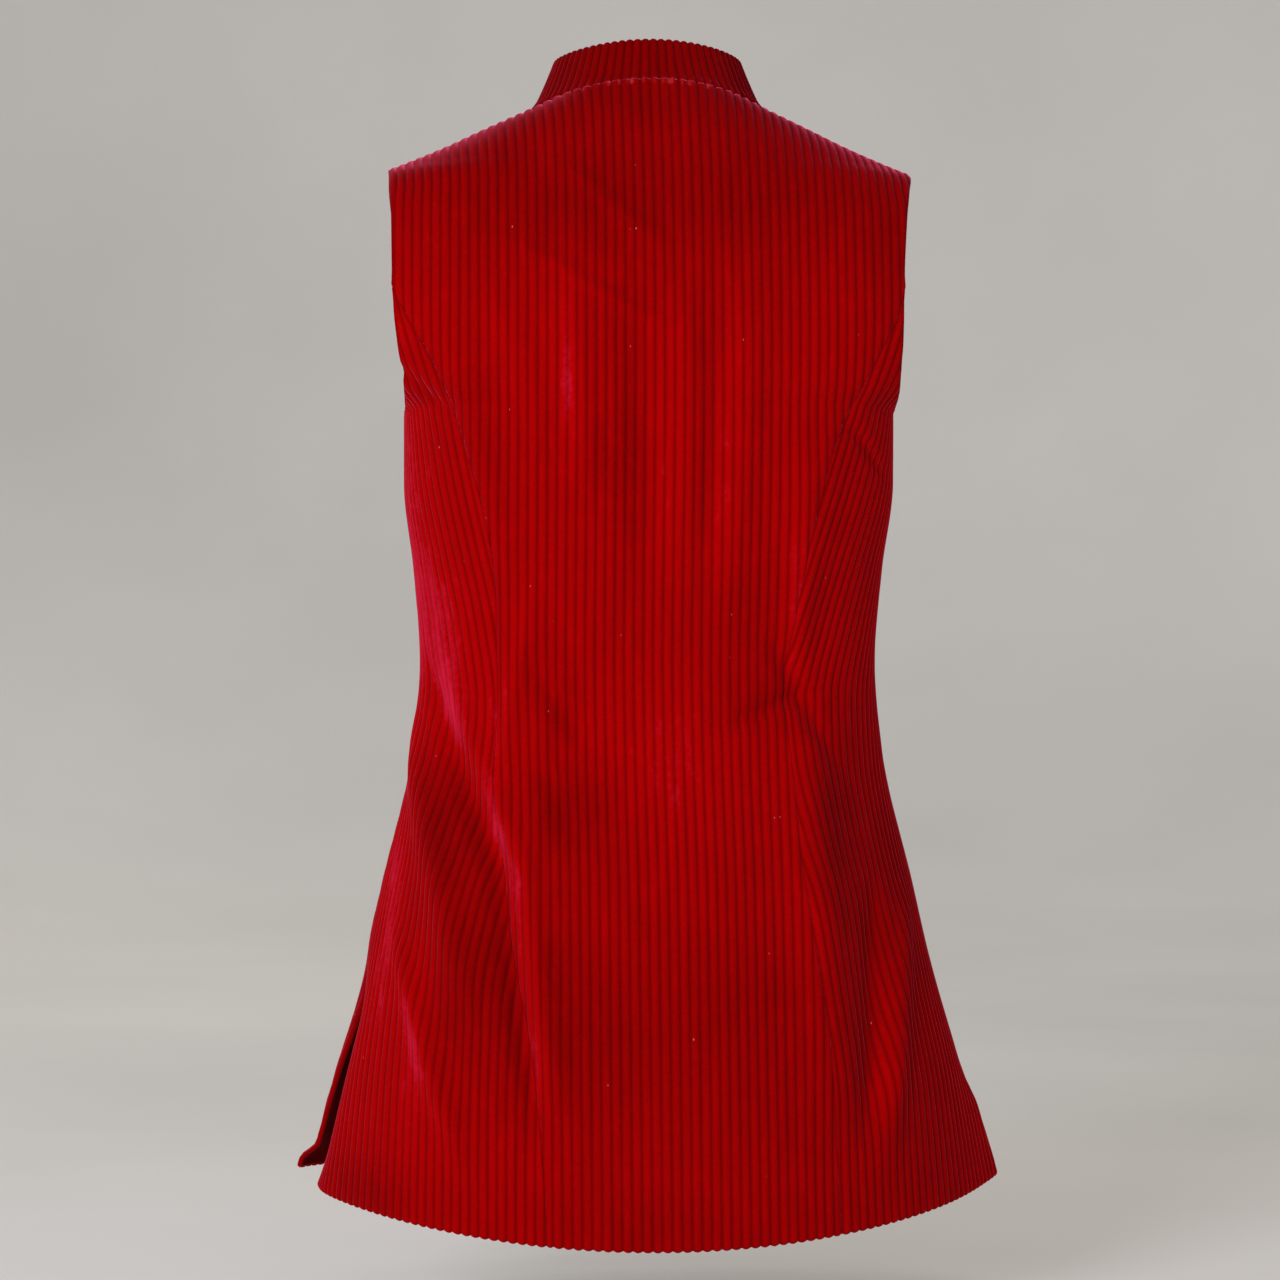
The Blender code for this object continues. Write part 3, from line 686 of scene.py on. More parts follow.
def unique_run(line):
    """A line of vertices without those that repeat the one before."""
    line = list(line)
    return [v for i, v in enumerate(line) if i == 0 or v != line[i - 1]]


# Turns of the vertices round an edge, from the outer face towards the inner one
ROLL = [math.radians(a) for a in (30, 60, 90, 120, 150)]


def side_chain(shell, edge, normal, outward, thick, bulge, uv, pile, nap, flip):
    """Points over one side edge of a row, from its outer face round to its inner face."""
    turn = np.array(ROLL + [math.pi])
    depth = -thick / 2 * (1 - np.cos(turn))
    points = edge + normal * depth[:, None] + outward * (bulge * np.sin(turn))[:, None]
    count = len(turn)
    ids = shell.add(points, np.tile(uv, (count, 1)), np.full(count, pile), np.full(count, nap))
    return ids[::-1] if flip else ids


def edge_ways(cut, heights, lefts, rights):
    """The ways out over a piece's two side edges, square to each edge and to the cloth."""
    ways = []
    for side, line in ((-1, lefts), (1, rights)):
        spots = [cut.frame(np.array([arc]), height) for height, arc in zip(heights, line)]
        points = np.array([point[0] for point, _ in spots])
        normals = np.array([normal[0] for _, normal in spots])
        out = np.cross(np.gradient(points, axis=0), normals) * side
        ways.append(out / np.linalg.norm(out, axis=1, keepdims=True))
    return ways


# The outer face's last row before a rolled edge: arcs, height of the pile, points under it,
# normals, and the vertex on which each column of the piece lies
Row = namedtuple("Row", "line pile centre normal column")


def rolled_rows(shell, cut, row, height, step, radius, faced, distances):
    """Rows of vertices round a rolled edge, from the outer face on, with the wales carried on."""
    other, _ = cut.frame(row.line, height + step)
    way = row.centre - (other + row.normal * cut.shift(row.line, height)[:, None])
    way -= row.normal * np.sum(way * row.normal, axis=1, keepdims=True)
    way /= np.linalg.norm(way, axis=1, keepdims=True)
    across = np.interp(row.line, cut.along(distances, height), distances)
    rows = []
    for turn in ROLL:
        pile = row.pile * (1.0 if faced else 1 - ease((turn - math.pi / 2) / (math.pi / 2)))
        out = radius + WALE_HEIGHT * pile
        points = (
            row.centre + row.normal * (-radius + out * math.cos(turn))[:, None]
            + way * (out * math.sin(turn))[:, None])
        below = np.full(len(row.line), height - step * radius * turn)
        ids = shell.add(
            points, np.stack([across, below], axis=1), pile, cut.nap(row.line, height))
        rows.append(np.concatenate([[ids[0]], ids[row.column], [ids[-1]]]))
    return rows


def rim_line(full, inner):
    """Vertices along a seam's edge: down one side, along the inner face and up the other."""
    corner = len(ROLL) + 1
    return list(full[1:corner][::-1]) + list(inner) + list(full[-corner:-1][::-1])


def cloth(name, cut, thickness, rolled, faced, materials):
    """One cloth piece: wales outside, rims, a rolled hem or top edge, and its inner face, which
    is pile too where the piece is faced."""
    shell = Shell()
    widest = max(max(abs(cut.left(h)), abs(cut.right(h))) for h in row_heights(cut))
    distances, piles = wale_columns(widest + SPARE_WALES)
    inner_step = 1 if faced else INNER_STEP
    radius = max(thickness, 2 * TURNING) / 2
    if rolled == "bottom":
        cut = cut._replace(bottom=cut.bottom + radius)
    else:
        cut = cut._replace(top=cut.top - radius)
    heights = row_heights(cut)
    lefts = np.array([cut.left(h) for h in heights])
    rights = np.array([cut.right(h) for h in heights])
    turned = [np.array([cut.turned_left(h) for h in heights], float),
              np.array([cut.turned_right(h) for h in heights], float)]
    lefts = lefts + turned[0] * radius
    rights = rights - turned[1] * radius
    outward = edge_ways(cut, heights, lefts, rights)

    full_rows = []
    outer_rows = []
    inner_rows = []
    kept = []
    for i, height in enumerate(heights):
        arcs = cut.along(distances, height)
        inside = (arcs > lefts[i] + EDGE_SPACE) & (arcs < rights[i] - EDGE_SPACE)
        line = np.concatenate([[lefts[i]], arcs[inside], [rights[i]]])
        across = np.interp(line, arcs, distances)
        from_left = line - lefts[i]
        from_right = rights[i] - line
        pile = np.interp(line, arcs, piles)
        for away, edge in ((from_left, turned[0][i]), (from_right, turned[1][i])):
            fade = SEAM_FADE + (EDGE_FADE - SEAM_FADE) * edge
            pile *= SEAM_PILE + (1 - SEAM_PILE) * ease(away / fade)
        centre, normal = cut.frame(line, height)
        centre = centre + normal * cut.shift(line, height)[:, None]
        uv = np.stack([across, np.full(len(line), height)], axis=1)
        nap = cut.nap(line, height)
        ids = shell.add(centre + normal * (WALE_HEIGHT * pile)[:, None], uv, pile, nap)
        spot = np.cumsum(inside)
        before = arcs <= lefts[i] + EDGE_SPACE
        column = np.where(before, 0, np.where(inside, spot, len(line) - 1))
        row = np.concatenate([[ids[0]], ids[column], [ids[-1]]])
        outer_rows.append(row)
        kept.append(Row(line, pile, centre, normal, column))

        # The cloth is doubled beside a turned edge and at a turned hem
        hem = height - cut.bottom if rolled == "bottom" and not faced else math.inf
        near = np.maximum(
            turned[0][i] * (1 - ease((from_left - TURNED_EDGE) / TURNED_STEP)),
            turned[1][i] * (1 - ease((from_right - TURNED_EDGE) / TURNED_STEP)))
        near = np.maximum(near, 1 - ease((hem - TURNED_HEM) / TURNED_STEP))
        depth = thickness + (2 * radius - thickness) * near
        if faced:
            depth = depth + WALE_HEIGHT * pile
        chains = []
        for k, end in ((0, 0), (1, -1)):
            crest = centre[end] + normal[end] * WALE_HEIGHT * pile[end]
            thick = depth[end] + (0 if faced else WALE_HEIGHT * pile[end])
            chains.append(side_chain(
                shell, crest, normal[end], outward[k][i], thick,
                radius * turned[k][i], uv[end], pile[end], nap[end], k == 0))
        full_rows.append(np.concatenate([chains[0], row, chains[1]]))
        picked = np.zeros(len(distances), bool)
        picked[::inner_step] = True
        chosen = inside & picked
        if chosen.any():
            index = spot[chosen]
            inner_points = centre[index] - normal[index] * depth[index][:, None]
            inner_pile = pile[index] if faced else np.full(len(index), INNER_PILE)
            inner = shell.add(inner_points, uv[index], inner_pile, nap[index])
        else:
            inner = np.array([], int)
        spot = np.cumsum(inside[picked])
        both = np.concatenate([[chains[0][0]], inner, [chains[1][-1]]])
        place = np.where(before[picked], 0, np.where(inside[picked], spot, len(both) - 1))
        inner_rows.append(np.concatenate([[both[0]], both[place], [both[-1]]]))

    shell.grid(full_rows, PILE_SLOT)
    shell.grid(inner_rows[::-1], PILE_SLOT if faced else WOVEN_SLOT)

    # The rolled edge, its two corners, and the edge at the seam
    at, seam, step = (0, -1, 1.0) if rolled == "bottom" else (-1, 0, -1.0)
    roll = rolled_rows(shell, cut, kept[at], heights[at], step, radius, faced, distances)
    outer = outer_rows[at]
    left_chain = full_rows[at][:len(ROLL) + 2]
    right_chain = full_rows[at][-len(ROLL) - 2:]
    left_roll = [left_chain[0]] + [row[0] for row in reversed(roll)] + [left_chain[-1]]
    right_roll = [right_chain[0]] + [row[-1] for row in roll] + [right_chain[-1]]
    rim = rim_line(full_rows[seam], inner_rows[seam])
    if rolled == "bottom":
        shell.grid(roll[::-1] + [outer], PILE_SLOT)
        strips = [(inner_rows[at], roll[-1]), (left_roll, left_chain),
                  (right_roll, right_chain), (outer_rows[seam], rim)]
    else:
        shell.grid([outer] + roll, PILE_SLOT)
        strips = [(roll[-1], inner_rows[at]), (left_chain, left_roll),
                  (right_chain, right_roll), (rim, outer_rows[seam])]
    for one, other in strips:
        shell.bridge(one, other, PILE_SLOT)
    return shell.build(name, materials)


def turned_share(distance, length):
    """How far a seam has become a turned edge, by the distance along it."""
    return float(ease(distance / length))


def slit_share(height):
    return turned_share(SLIT_TOP - height, SLIT_TURN)


def underarm_share(height):
    return turned_share(height - ARMHOLE_BOTTOM, ARMHOLE_TURN)


def shoulder_share(height):
    return turned_share(SHOULDER_TIP - height, SHOULDER_TURN)


def no_shift(arc, height):
    return np.zeros_like(arc)


def never(height):
    return 0.0


def always(height):
    return 1.0


def back_along(distances, height):
    return arc_across(distances, height, back_half)


def front_along(distances, height):
    return arc_across(distances, height, front_half)


def back_centre_cut():
    """The centre back, from the shoulder seams to the hem."""
    def edge(height, side):
        if height >= SHOULDER_TIP:
            return side * (side_arc(height) + SEAM_PRESS)
        if height >= PRINCESS_TOP:
            return side * back_armhole_arc(height, side)
        return side * (princess_arc(height, side) + SEAM_PRESS)

    def armhole(height):
        return min(turned_share(height - PRINCESS_TOP, PRINCESS_TURN), shoulder_share(height))

    return Cut(
        body_frame, 0.0, BACK_HEM, lambda h: edge(h, -1), lambda h: edge(h, 1),
        back_along, no_shift, armhole, armhole, body_painted_light)


def side_back_cut(side):
    """One side back, left where side is below 0, with its wales on a grain line of its own."""
    middle = princess_arc(WAIST, side) + SIDE_GRAIN_IN
    lean = LEAN_LEFT if side < 0 else LEAN_RIGHT

    def inner(height):
        return side * (princess_arc(height, side) - SEAM_PRESS)

    def outer(height):
        if height > ARMHOLE_BOTTOM:
            return side * back_armhole_arc(height, side)
        return side * (side_arc(height) - slit_gap(height))

    def turned(height):
        princess = turned_share(PRINCESS_TOP - height, PRINCESS_TURN)
        return max(min(underarm_share(height), princess), slit_share(height))

    left, right = (outer, inner) if side < 0 else (inner, outer)
    turned_left, turned_right = (turned, never) if side < 0 else (never, turned)
    return Cut(
        body_frame, PRINCESS_TOP - SIDE_BACK_DROP, BACK_HEM, left, right,
        lambda distances, h: distances + side * (middle + lean(h)),
        no_shift, turned_left, turned_right, body_painted_light)


def front_cut(side):
    """One front: the right one laps over the left."""
    def outer(height):
        if height >= SHOULDER_TIP:
            return half_girth(height) - side_arc(height) + SEAM_PRESS
        if height > ARMHOLE_BOTTOM:
            return armhole_arc(height, front_half, ACROSS_CHEST)
        return half_girth(height) - side_arc(height) - slit_gap(height)

    def shift(arc, height):
        lift = LAP_OVER if side > 0 else -LAP_LIFT
        return lift * ease((LAP_SPREAD + LAP + side * arc) / LAP_SPREAD)

    def turned(height):
        return max(min(underarm_share(height), shoulder_share(height)), slit_share(height))

    if side > 0:
        return Cut(
            front_frame, 0.0, FRONT_HEM, lambda h: -outer(h), lambda h: LAP,
            front_along, shift, turned, always, front_painted_light)
    return Cut(
        front_frame, 0.0, FRONT_HEM, lambda h: -LAP, outer, front_along, shift, always, turned,
        front_painted_light)


def collar_cut():
    """The collar band, by arc length round the neck seam and height above it."""
    low_arcs, low, _ = ring(0.0)
    high = superellipse(
        COLLAR_TOP_WIDTH, COLLAR_TOP_BACK, COLLAR_TOP_FRONT, COLLAR_TOP_SQUARENESS,
        COLLAR_TOP_RISE, COLLAR_TOP_DROP, COLLAR_HEIGHT)
    steps = np.linalg.norm(np.diff(high, axis=0), axis=1)
    high_arcs = np.concatenate([[0], np.cumsum(steps)])
    high_arcs *= low_arcs[-1] / high_arcs[-1]
    half = low_arcs[-1] - COLLAR_FRONT_GAP

    def spot(arc, up):
        share = np.clip(up / COLLAR_HEIGHT, 0.0, 1.0)
        base = on_ring(low_arcs, low, arc)
        top = on_ring(high_arcs, high, arc)
        point = base + (top - base) * share
        point[:, :2] = base[:, :2] + (top - base)[:, :2] * share ** COLLAR_FLARE
        return point

    def collar_frame(arc, height):
        across = spot(arc + 1, height) - spot(arc - 1, height)
        up = spot(arc, min(height + 2, COLLAR_HEIGHT)) - spot(arc, max(height - 2, 0))
        normal = np.cross(across, up)
        return spot(arc, height), normal / np.linalg.norm(normal, axis=1, keepdims=True)

    def end(height):
        into = max(height - (COLLAR_HEIGHT - COLLAR_CORNER), 0.0) / COLLAR_CORNER
        return half - COLLAR_CORNER * (1 - math.sqrt(max(1 - into * into, 0.0)))

    def over_seam(arc, height):
        share = ease(height / COLLAR_OVER_REACH)
        return COLLAR_OVER_SEAM * (1 - share) * np.ones_like(arc)

    # The collar's pile is painted darker all over: painted shade
    return Cut(
        collar_frame, COLLAR_HEIGHT, -SEAM_PRESS, lambda h: -end(h), end,
        lambda distances, h: distances, over_seam, always, always,
        lambda arc, h: np.full_like(arc, COLLAR_PAINTED_SHADE))


def linear(code):
    """An sRGB hex colour as linear values."""
    values = []
    for i in (0, 2, 4):
        c = int(code[i:i + 2], 16) / 255
        values.append(c / 12.92 if c <= 0.04045 else ((c + 0.055) / 1.055) ** 2.4)
    return (*values, 1.0)


def node(tree, kind, settings=None, links=None):
    """Add a shader node, set its values and properties, and link its inputs. Inputs go by name,
    or by number: 0 to 2 are a sum's terms, 1 to 4 a range's old and new ends, and 6 and 7 the
    two colours that a mix blends by 0."""
    made = tree.nodes.new("ShaderNode" + kind)
    for key, value in (settings or {}).items():
        if isinstance(key, int) or key in made.inputs:
            made.inputs[key].default_value = value
        else:
            setattr(made, key, value)
    for key, source in (links or {}).items():
        tree.links.new(source, made.inputs[key])
    return made


def new_material(name):
    made = bpy.data.materials.new(name)
    made.use_nodes = True
    tree = made.node_tree
    tree.nodes.clear()
    return made, tree


def corduroy():
    """Cotton jumbo corduroy, cut pile: a deep red that drinks in light, a pinkish sheen where
    the pile is seen from its side, wales that differ a little from each other, painted shade in
    the valleys between them, small spots where the pile is crushed up, a painted pink sheen where
    the painted light runs high and on those spots, and pile crushed pale where it is caught in
    the neck seam."""
    made, tree = new_material("cotton corduroy, cut pile")
    grain = node(tree, "UVMap", {"uv_map": "grain"}).outputs["UV"]
    pile = node(tree, "Attribute", {"attribute_name": "pile"}).outputs["Fac"]
    place = node(tree, "TexCoord").outputs["Object"]

    # Fibres 0.7 by 1.1 mm, drawn coarser than real pile so that they show; tufts 3 to 4 mm
    fibre_at = node(tree, "Mapping", {"Scale": FIBRES}, {"Vector": grain}).outputs[0]
    fibre = node(tree, "TexNoise", {"Scale": 1.0, "Detail": 2.0, "Roughness": 0.7},
                 {"Vector": fibre_at}).outputs["Fac"]
    tuft_at = node(tree, "Mapping", {"Scale": TUFTS}, {"Vector": grain}).outputs[0]
    tuft = node(tree, "TexNoise", {"Scale": 1.0, "Detail": 3.0, "Roughness": 0.6},
                {"Vector": tuft_at}).outputs["Fac"]

    # Streaks one wale wide and some 60 mm long, and patches of brushed nap 120 mm across
    streak_at = node(tree, "Mapping", {"Scale": STREAKS}, {"Vector": grain}).outputs[0]
    streak = node(tree, "TexNoise", {"Scale": 1.0, "Detail": 3.0, "Roughness": 0.55},
                  {"Vector": streak_at}).outputs["Fac"]
    cloud = node(tree, "TexNoise", {"Scale": 8.0, "Detail": 2.0, "Roughness": 0.5},
                 {"Vector": place}).outputs["Fac"]
    nap = node(tree, "Math", {"operation": "MULTIPLY_ADD", 1: 0.7}, {0: streak, 2: cloud})
    nap = node(tree, "Math", {"operation": "MULTIPLY_ADD", 1: 0.5}, {0: tuft, 2: nap.outputs[0]})
    nap = node(tree, "Math", {"operation": "MULTIPLY_ADD", 1: 0.5}, {0: fibre, 2: nap.outputs[0]})
    nap = node(tree, "MapRange", {1: 0.9, 2: 1.8, 3: 0.28, 4: 0.62}, {0: nap.outputs[0]})
    # Painted light and shade from the vertices, added to the random tone of the pile
    painted_light = node(tree, "Attribute", {"attribute_name": "nap"}).outputs["Fac"]
    nap = node(tree, "Math", {"operation": "ADD"}, {0: nap.outputs[0], 1: painted_light}).outputs[0]

    # Spots some 18 mm long on single wales where the pile is crushed and catches the light
    spot_at = node(tree, "Mapping", {"Scale": SPOTS}, {"Vector": grain}).outputs[0]
    spot = node(tree, "TexNoise", {"Scale": 1.0, "Detail": 1.5, "Roughness": 0.5},
                {"Vector": spot_at}).outputs["Fac"]
    spot = node(tree, "MapRange", {1: 0.5, 2: 0.8, 4: 0.09}, {0: spot}).outputs[0]
    nap = node(tree, "Math", {"operation": "ADD"}, {0: nap, 1: spot}).outputs[0]
    # The pile's colour from dark to light, by random tone and painted light and shade together
    napped_and_painted = node(tree, "Mix", {"data_type": "RGBA", 6: linear(PILE_DARK), 7: linear(PILE_LIGHT)},
                  {0: nap}).outputs[2]
    # Painted pink sheen where the painted light runs high, on the left flank and the lit sides of
    # folds, and pink on the highest crushed spots
    rubbed_and_sheen = node(tree, "MapRange", {1: 0.61, 2: 1.0, 3: 0.0, 4: 0.5}, {0: nap}).outputs[0]
    napped_and_painted = node(tree, "Mix", {"data_type": "RGBA", 7: linear(PILE_RUBBED_AND_SHEEN)},
                  {0: rubbed_and_sheen, 6: napped_and_painted}).outputs[2]
    # Painted shade in the valleys between the wales, beside seams and at edges: the lower the pile
    # stands, the darker
    depth = node(tree, "MapRange", {1: 0.0, 2: 0.8}, {0: pile}).outputs[0]
    depth = node(tree, "Mix", {"data_type": "RGBA", 6: linear(VALLEY_SHADE), 7: linear("FFFFFF")},
                 {0: depth}).outputs[2]
    colour = node(tree, "Mix", {"data_type": "RGBA", "blend_type": "MULTIPLY", 0: 1.0},
                  {6: napped_and_painted, 7: depth}).outputs[2]

    # Pile crushed in the last 3 mm below the neck seam, more on some wales than on others
    height = node(tree, "SeparateXYZ", links={0: grain}).outputs["Y"]
    below = node(tree, "MapRange", {1: -0.0034, 2: -0.0016}, {0: height}).outputs[0]
    above = node(tree, "MapRange", {1: -0.0002, 2: 0.0004, 3: 1.0, 4: 0.0},
                 {0: height}).outputs[0]
    seam = node(tree, "Math", {"operation": "MULTIPLY"}, {0: below, 1: above}).outputs[0]
    some = node(tree, "MapRange", {1: 0.48, 2: 0.66, 4: 0.5}, {0: streak}).outputs[0]
    seam = node(tree, "Math", {"operation": "MULTIPLY"}, {0: seam, 1: some}).outputs[0]
    colour = node(tree, "Mix", {"data_type": "RGBA", 7: linear(PILE_PRESSED)},
                  {0: seam, 6: colour}).outputs[2]

    # A few specks of pale lint, each under 1 mm
    lint_at = node(tree, "Mapping", {"Scale": LINT_SPECKS}, {"Vector": grain}).outputs[0]
    lint = node(tree, "TexVoronoi", {"Scale": 1.0, "feature": "F1"},
                {"Vector": lint_at}).outputs["Distance"]
    lint = node(tree, "MapRange", {1: 0.10, 2: 0.04, 3: 0.0, 4: 0.4}, {0: lint}).outputs[0]
    few = node(tree, "TexNoise", {"Scale": 60.0, "Detail": 1.0}, {"Vector": place})
    few = node(tree, "MapRange", {1: 0.70, 2: 0.73}, {0: few.outputs["Fac"]}).outputs[0]
    lint = node(tree, "Math", {"operation": "MULTIPLY"}, {0: lint, 1: few}).outputs[0]
    colour = node(tree, "Mix", {"data_type": "RGBA", 7: linear(LINT)},
                  {0: lint, 6: colour}).outputs[2]
    rise = node(tree, "Math", {"operation": "MULTIPLY_ADD", 1: 0.6}, {0: tuft, 2: fibre})
    bump = node(tree, "Bump", {"Strength": 0.4, "Distance": 0.0005},
                {"Height": rise.outputs[0]}).outputs[0]
    shader = node(
        tree, "BsdfPrincipled",
        {"Roughness": 1.0, "Specular IOR Level": 0.02, "Sheen Weight": SHEEN,
         "Sheen Roughness": SHEEN_SPREAD, "Sheen Tint": linear(SHEEN_TINT)},
        {"Base Color": colour, "Normal": bump})
    node(tree, "OutputMaterial", links={"Surface": shader.outputs[0]})
    return made


def woven_back():
    """The plain woven back of the same cloth: dull cotton, each thread about 1 mm here, drawn
    coarser than it is so that the weave shows."""
    made, tree = new_material("cotton corduroy, woven back")
    grain = node(tree, "UVMap", {"uv_map": "grain"}).outputs["UV"]
    weave = node(tree, "Mapping", {"Scale": (1000, 1000, 1)}, {"Vector": grain}).outputs[0]
    warp = node(tree, "TexWave", {"Scale": 0.3, "bands_direction": "X"}, {"Vector": weave})
    weft = node(tree, "TexWave", {"Scale": 0.3, "bands_direction": "Y"}, {"Vector": weave})
    both = node(tree, "Math", {"operation": "ADD"},
                {0: warp.outputs["Fac"], 1: weft.outputs["Fac"]}).outputs[0]
    place = node(tree, "TexCoord").outputs["Object"]
    cloud = node(tree, "TexNoise", {"Scale": 30.0, "Detail": 4.0}, {"Vector": place})
    worn = node(tree, "MapRange", {1: 0.3, 2: 0.7}, {0: cloud.outputs["Fac"]}).outputs[0]
    colour = node(
        tree, "Mix", {"data_type": "RGBA", 6: linear(WOVEN_DARK), 7: linear(WOVEN_LIGHT)},
        {0: worn}).outputs[2]
    bump = node(tree, "Bump", {"Strength": 0.35, "Distance": 0.0003}, {"Height": both})
    shader = node(tree, "BsdfPrincipled",
                  {"Roughness": 1.0, "Specular IOR Level": 0.02},
                  {"Base Color": colour, "Normal": bump.outputs[0]})
    node(tree, "OutputMaterial", links={"Surface": shader.outputs[0]})
    return made


def moulded_resin():
    """Buttons of dyed polyester resin, moulded and polished: faint swirls in a deep red, and a
    clear small highlight on the rim."""
    made, tree = new_material("polyester resin, dyed and polished")
    place = node(tree, "TexCoord").outputs["Object"]
    swirl = node(tree, "TexNoise", {"Scale": 90.0, "Detail": 4.0, "Distortion": 1.5},
                 {"Vector": place}).outputs["Fac"]
    swirl = node(tree, "MapRange", {1: 0.35, 2: 0.65}, {0: swirl}).outputs[0]
    colour = node(
        tree, "Mix", {"data_type": "RGBA", 6: linear(RESIN_DARK), 7: linear(RESIN_LIGHT)},
        {0: swirl}).outputs[2]
    rough = node(tree, "MapRange", {3: 0.28, 4: 0.4}, {0: swirl}).outputs[0]
    shader = node(tree, "BsdfPrincipled", {"IOR": 1.5, "Specular IOR Level": 0.3},
                  {"Base Color": colour, "Roughness": rough})
    node(tree, "OutputMaterial", links={"Surface": shader.outputs[0]})
    return made


def sewing_thread():
    """Polyester sewing thread, spun, matched to the cloth: its twist shows as fine bands."""
    made, tree = new_material("polyester thread, spun")
    place = node(tree, "TexCoord").outputs["Object"]
    twist = node(tree, "TexWave", {"Scale": 700.0, "Distortion": 0.5},
                 {"Vector": place}).outputs["Fac"]
    colour = node(
        tree, "Mix", {"data_type": "RGBA", 6: linear(THREAD_DARK), 7: linear(THREAD_LIGHT)},
        {0: twist}).outputs[2]
    bump = node(tree, "Bump", {"Strength": 0.4, "Distance": 0.0002}, {"Height": twist})
    shader = node(tree, "BsdfPrincipled", {"Roughness": 0.55, "Sheen Weight": 0.1},
                  {"Base Color": colour, "Normal": bump.outputs[0]})
    node(tree, "OutputMaterial", links={"Surface": shader.outputs[0]})
    return made


def lit_paper():
    """Studio paper, matt and lit evenly from behind: pale, a little warm, faintly mottled."""
    made, tree = new_material("studio paper, matt")
    place = node(tree, "TexCoord").outputs["Object"]
    mottle = node(tree, "TexNoise", {"Scale": 1.0, "Detail": 4.0}, {"Vector": place})
    mottle = node(tree, "MapRange", {1: 0.3, 2: 0.7}, {0: mottle.outputs["Fac"]}).outputs[0]
    colour = node(
        tree, "Mix", {"data_type": "RGBA", 6: linear(PAPER_DARK), 7: linear(PAPER_LIGHT)},
        {0: mottle}).outputs[2]
    shader = node(tree, "BsdfPrincipled",
                  {"Roughness": 1.0, "Specular IOR Level": 0.0, "Emission Strength": 0.46},
                  {"Base Color": colour, "Emission Color": colour})
    node(tree, "OutputMaterial", links={"Surface": shader.outputs[0]})
    return made


def deselect_all():
    for thing in list(bpy.context.selected_objects):
        thing.select_set(False)


def apply_modifiers(thing):
    bpy.context.view_layer.objects.active = thing
    for modifier in list(thing.modifiers):
        bpy.ops.object.modifier_apply(modifier=modifier.name)


def select_faces(mesh, wanted):
    for face in mesh.faces:
        face.select_set(wanted(face))


def button_disc():
    """One four-hole button at the origin, its face up: a turned rim round a dished middle."""
    deselect_all()
    height = BUTTON_THICKNESS * MM
    bpy.ops.mesh.primitive_cylinder_add(
        vertices=64, radius=BUTTON_RADIUS * MM, depth=height, location=(0, 0, height / 2))
    disc = bpy.context.object
    bpy.ops.object.transform_apply(location=True)
    bpy.ops.object.mode_set(mode="EDIT")
    mesh = bmesh.from_edit_mesh(disc.data)
    select_faces(mesh, lambda face: face.normal.z > 0.9)
    bmesh.update_edit_mesh(disc.data)
    bpy.ops.mesh.inset(thickness=BUTTON_RIM * MM)
    bpy.ops.mesh.inset(thickness=BUTTON_SLOPE * MM, depth=-BUTTON_DISH * MM)
    bpy.ops.mesh.inset(thickness=BUTTON_BOWL * MM, depth=-BUTTON_BOWL_DEPTH * MM)
    bpy.ops.object.mode_set(mode="OBJECT")
    bevel = disc.modifiers.new("round", "BEVEL")
    bevel.width = BUTTON_EDGE * MM
    bevel.segments = 3
    bevel.limit_method = "ANGLE"
    bevel.angle_limit = math.radians(25)
    apply_modifiers(disc)
    for k in range(BUTTON_HOLES):
        turn = math.radians(45 + 90 * k)
        x, y = HOLE_CIRCLE * MM * math.cos(turn), HOLE_CIRCLE * MM * math.sin(turn)
        deselect_all()
        bpy.ops.mesh.primitive_cylinder_add(
            vertices=24, radius=HOLE_RADIUS * MM, depth=4 * height, location=(x, y, height / 2))
        drill = bpy.context.object
        cut = disc.modifiers.new("hole", "BOOLEAN")
        cut.operation = "DIFFERENCE"
        cut.solver = "EXACT"
        cut.object = drill
        apply_modifiers(disc)
        bpy.data.objects.remove(drill, do_unlink=True)
    deselect_all()
    disc.select_set(True)
    bpy.context.view_layer.objects.active = disc
    bpy.ops.object.shade_smooth_by_angle(angle=math.radians(30))
    return disc


def button_thread():
    """Two bars of thread across the holes, and the wound stem under the button."""
    top = (BUTTON_THICKNESS - BUTTON_DISH - BUTTON_BOWL_DEPTH) * MM
    parts = []
    for side in (-1, 1):
        for strand in (-1, 0, 1):
            y = (BAR_OFFSET * side + STRAND_STEP * strand) * MM
            deselect_all()
            bpy.ops.mesh.primitive_torus_add(
                major_segments=32, minor_segments=8, major_radius=STRAND_LOOP * MM,
                minor_radius=STRAND_RADIUS * MM, rotation=(math.pi / 2, 0, 0),
                location=(0, y, top - STRAND_SUNK * MM))
            bar = bpy.context.object
            bar.scale = (1.0, STRAND_FLATNESS, 1.0)
            parts.append(bar)
    deselect_all()
    bpy.ops.mesh.primitive_cylinder_add(
        vertices=24, radius=STEM_RADIUS * MM, depth=STEM_LENGTH * MM,
        location=(0, 0, STEM_MIDDLE * MM))
    parts.append(bpy.context.object)
    for part in parts:
        part.select_set(True)
    bpy.context.view_layer.objects.active = parts[0]
    bpy.ops.object.transform_apply(location=True, rotation=True, scale=True)
    bpy.ops.object.join()
    joined = bpy.context.object
    bpy.ops.object.shade_smooth_by_angle(angle=math.radians(40))
    return joined


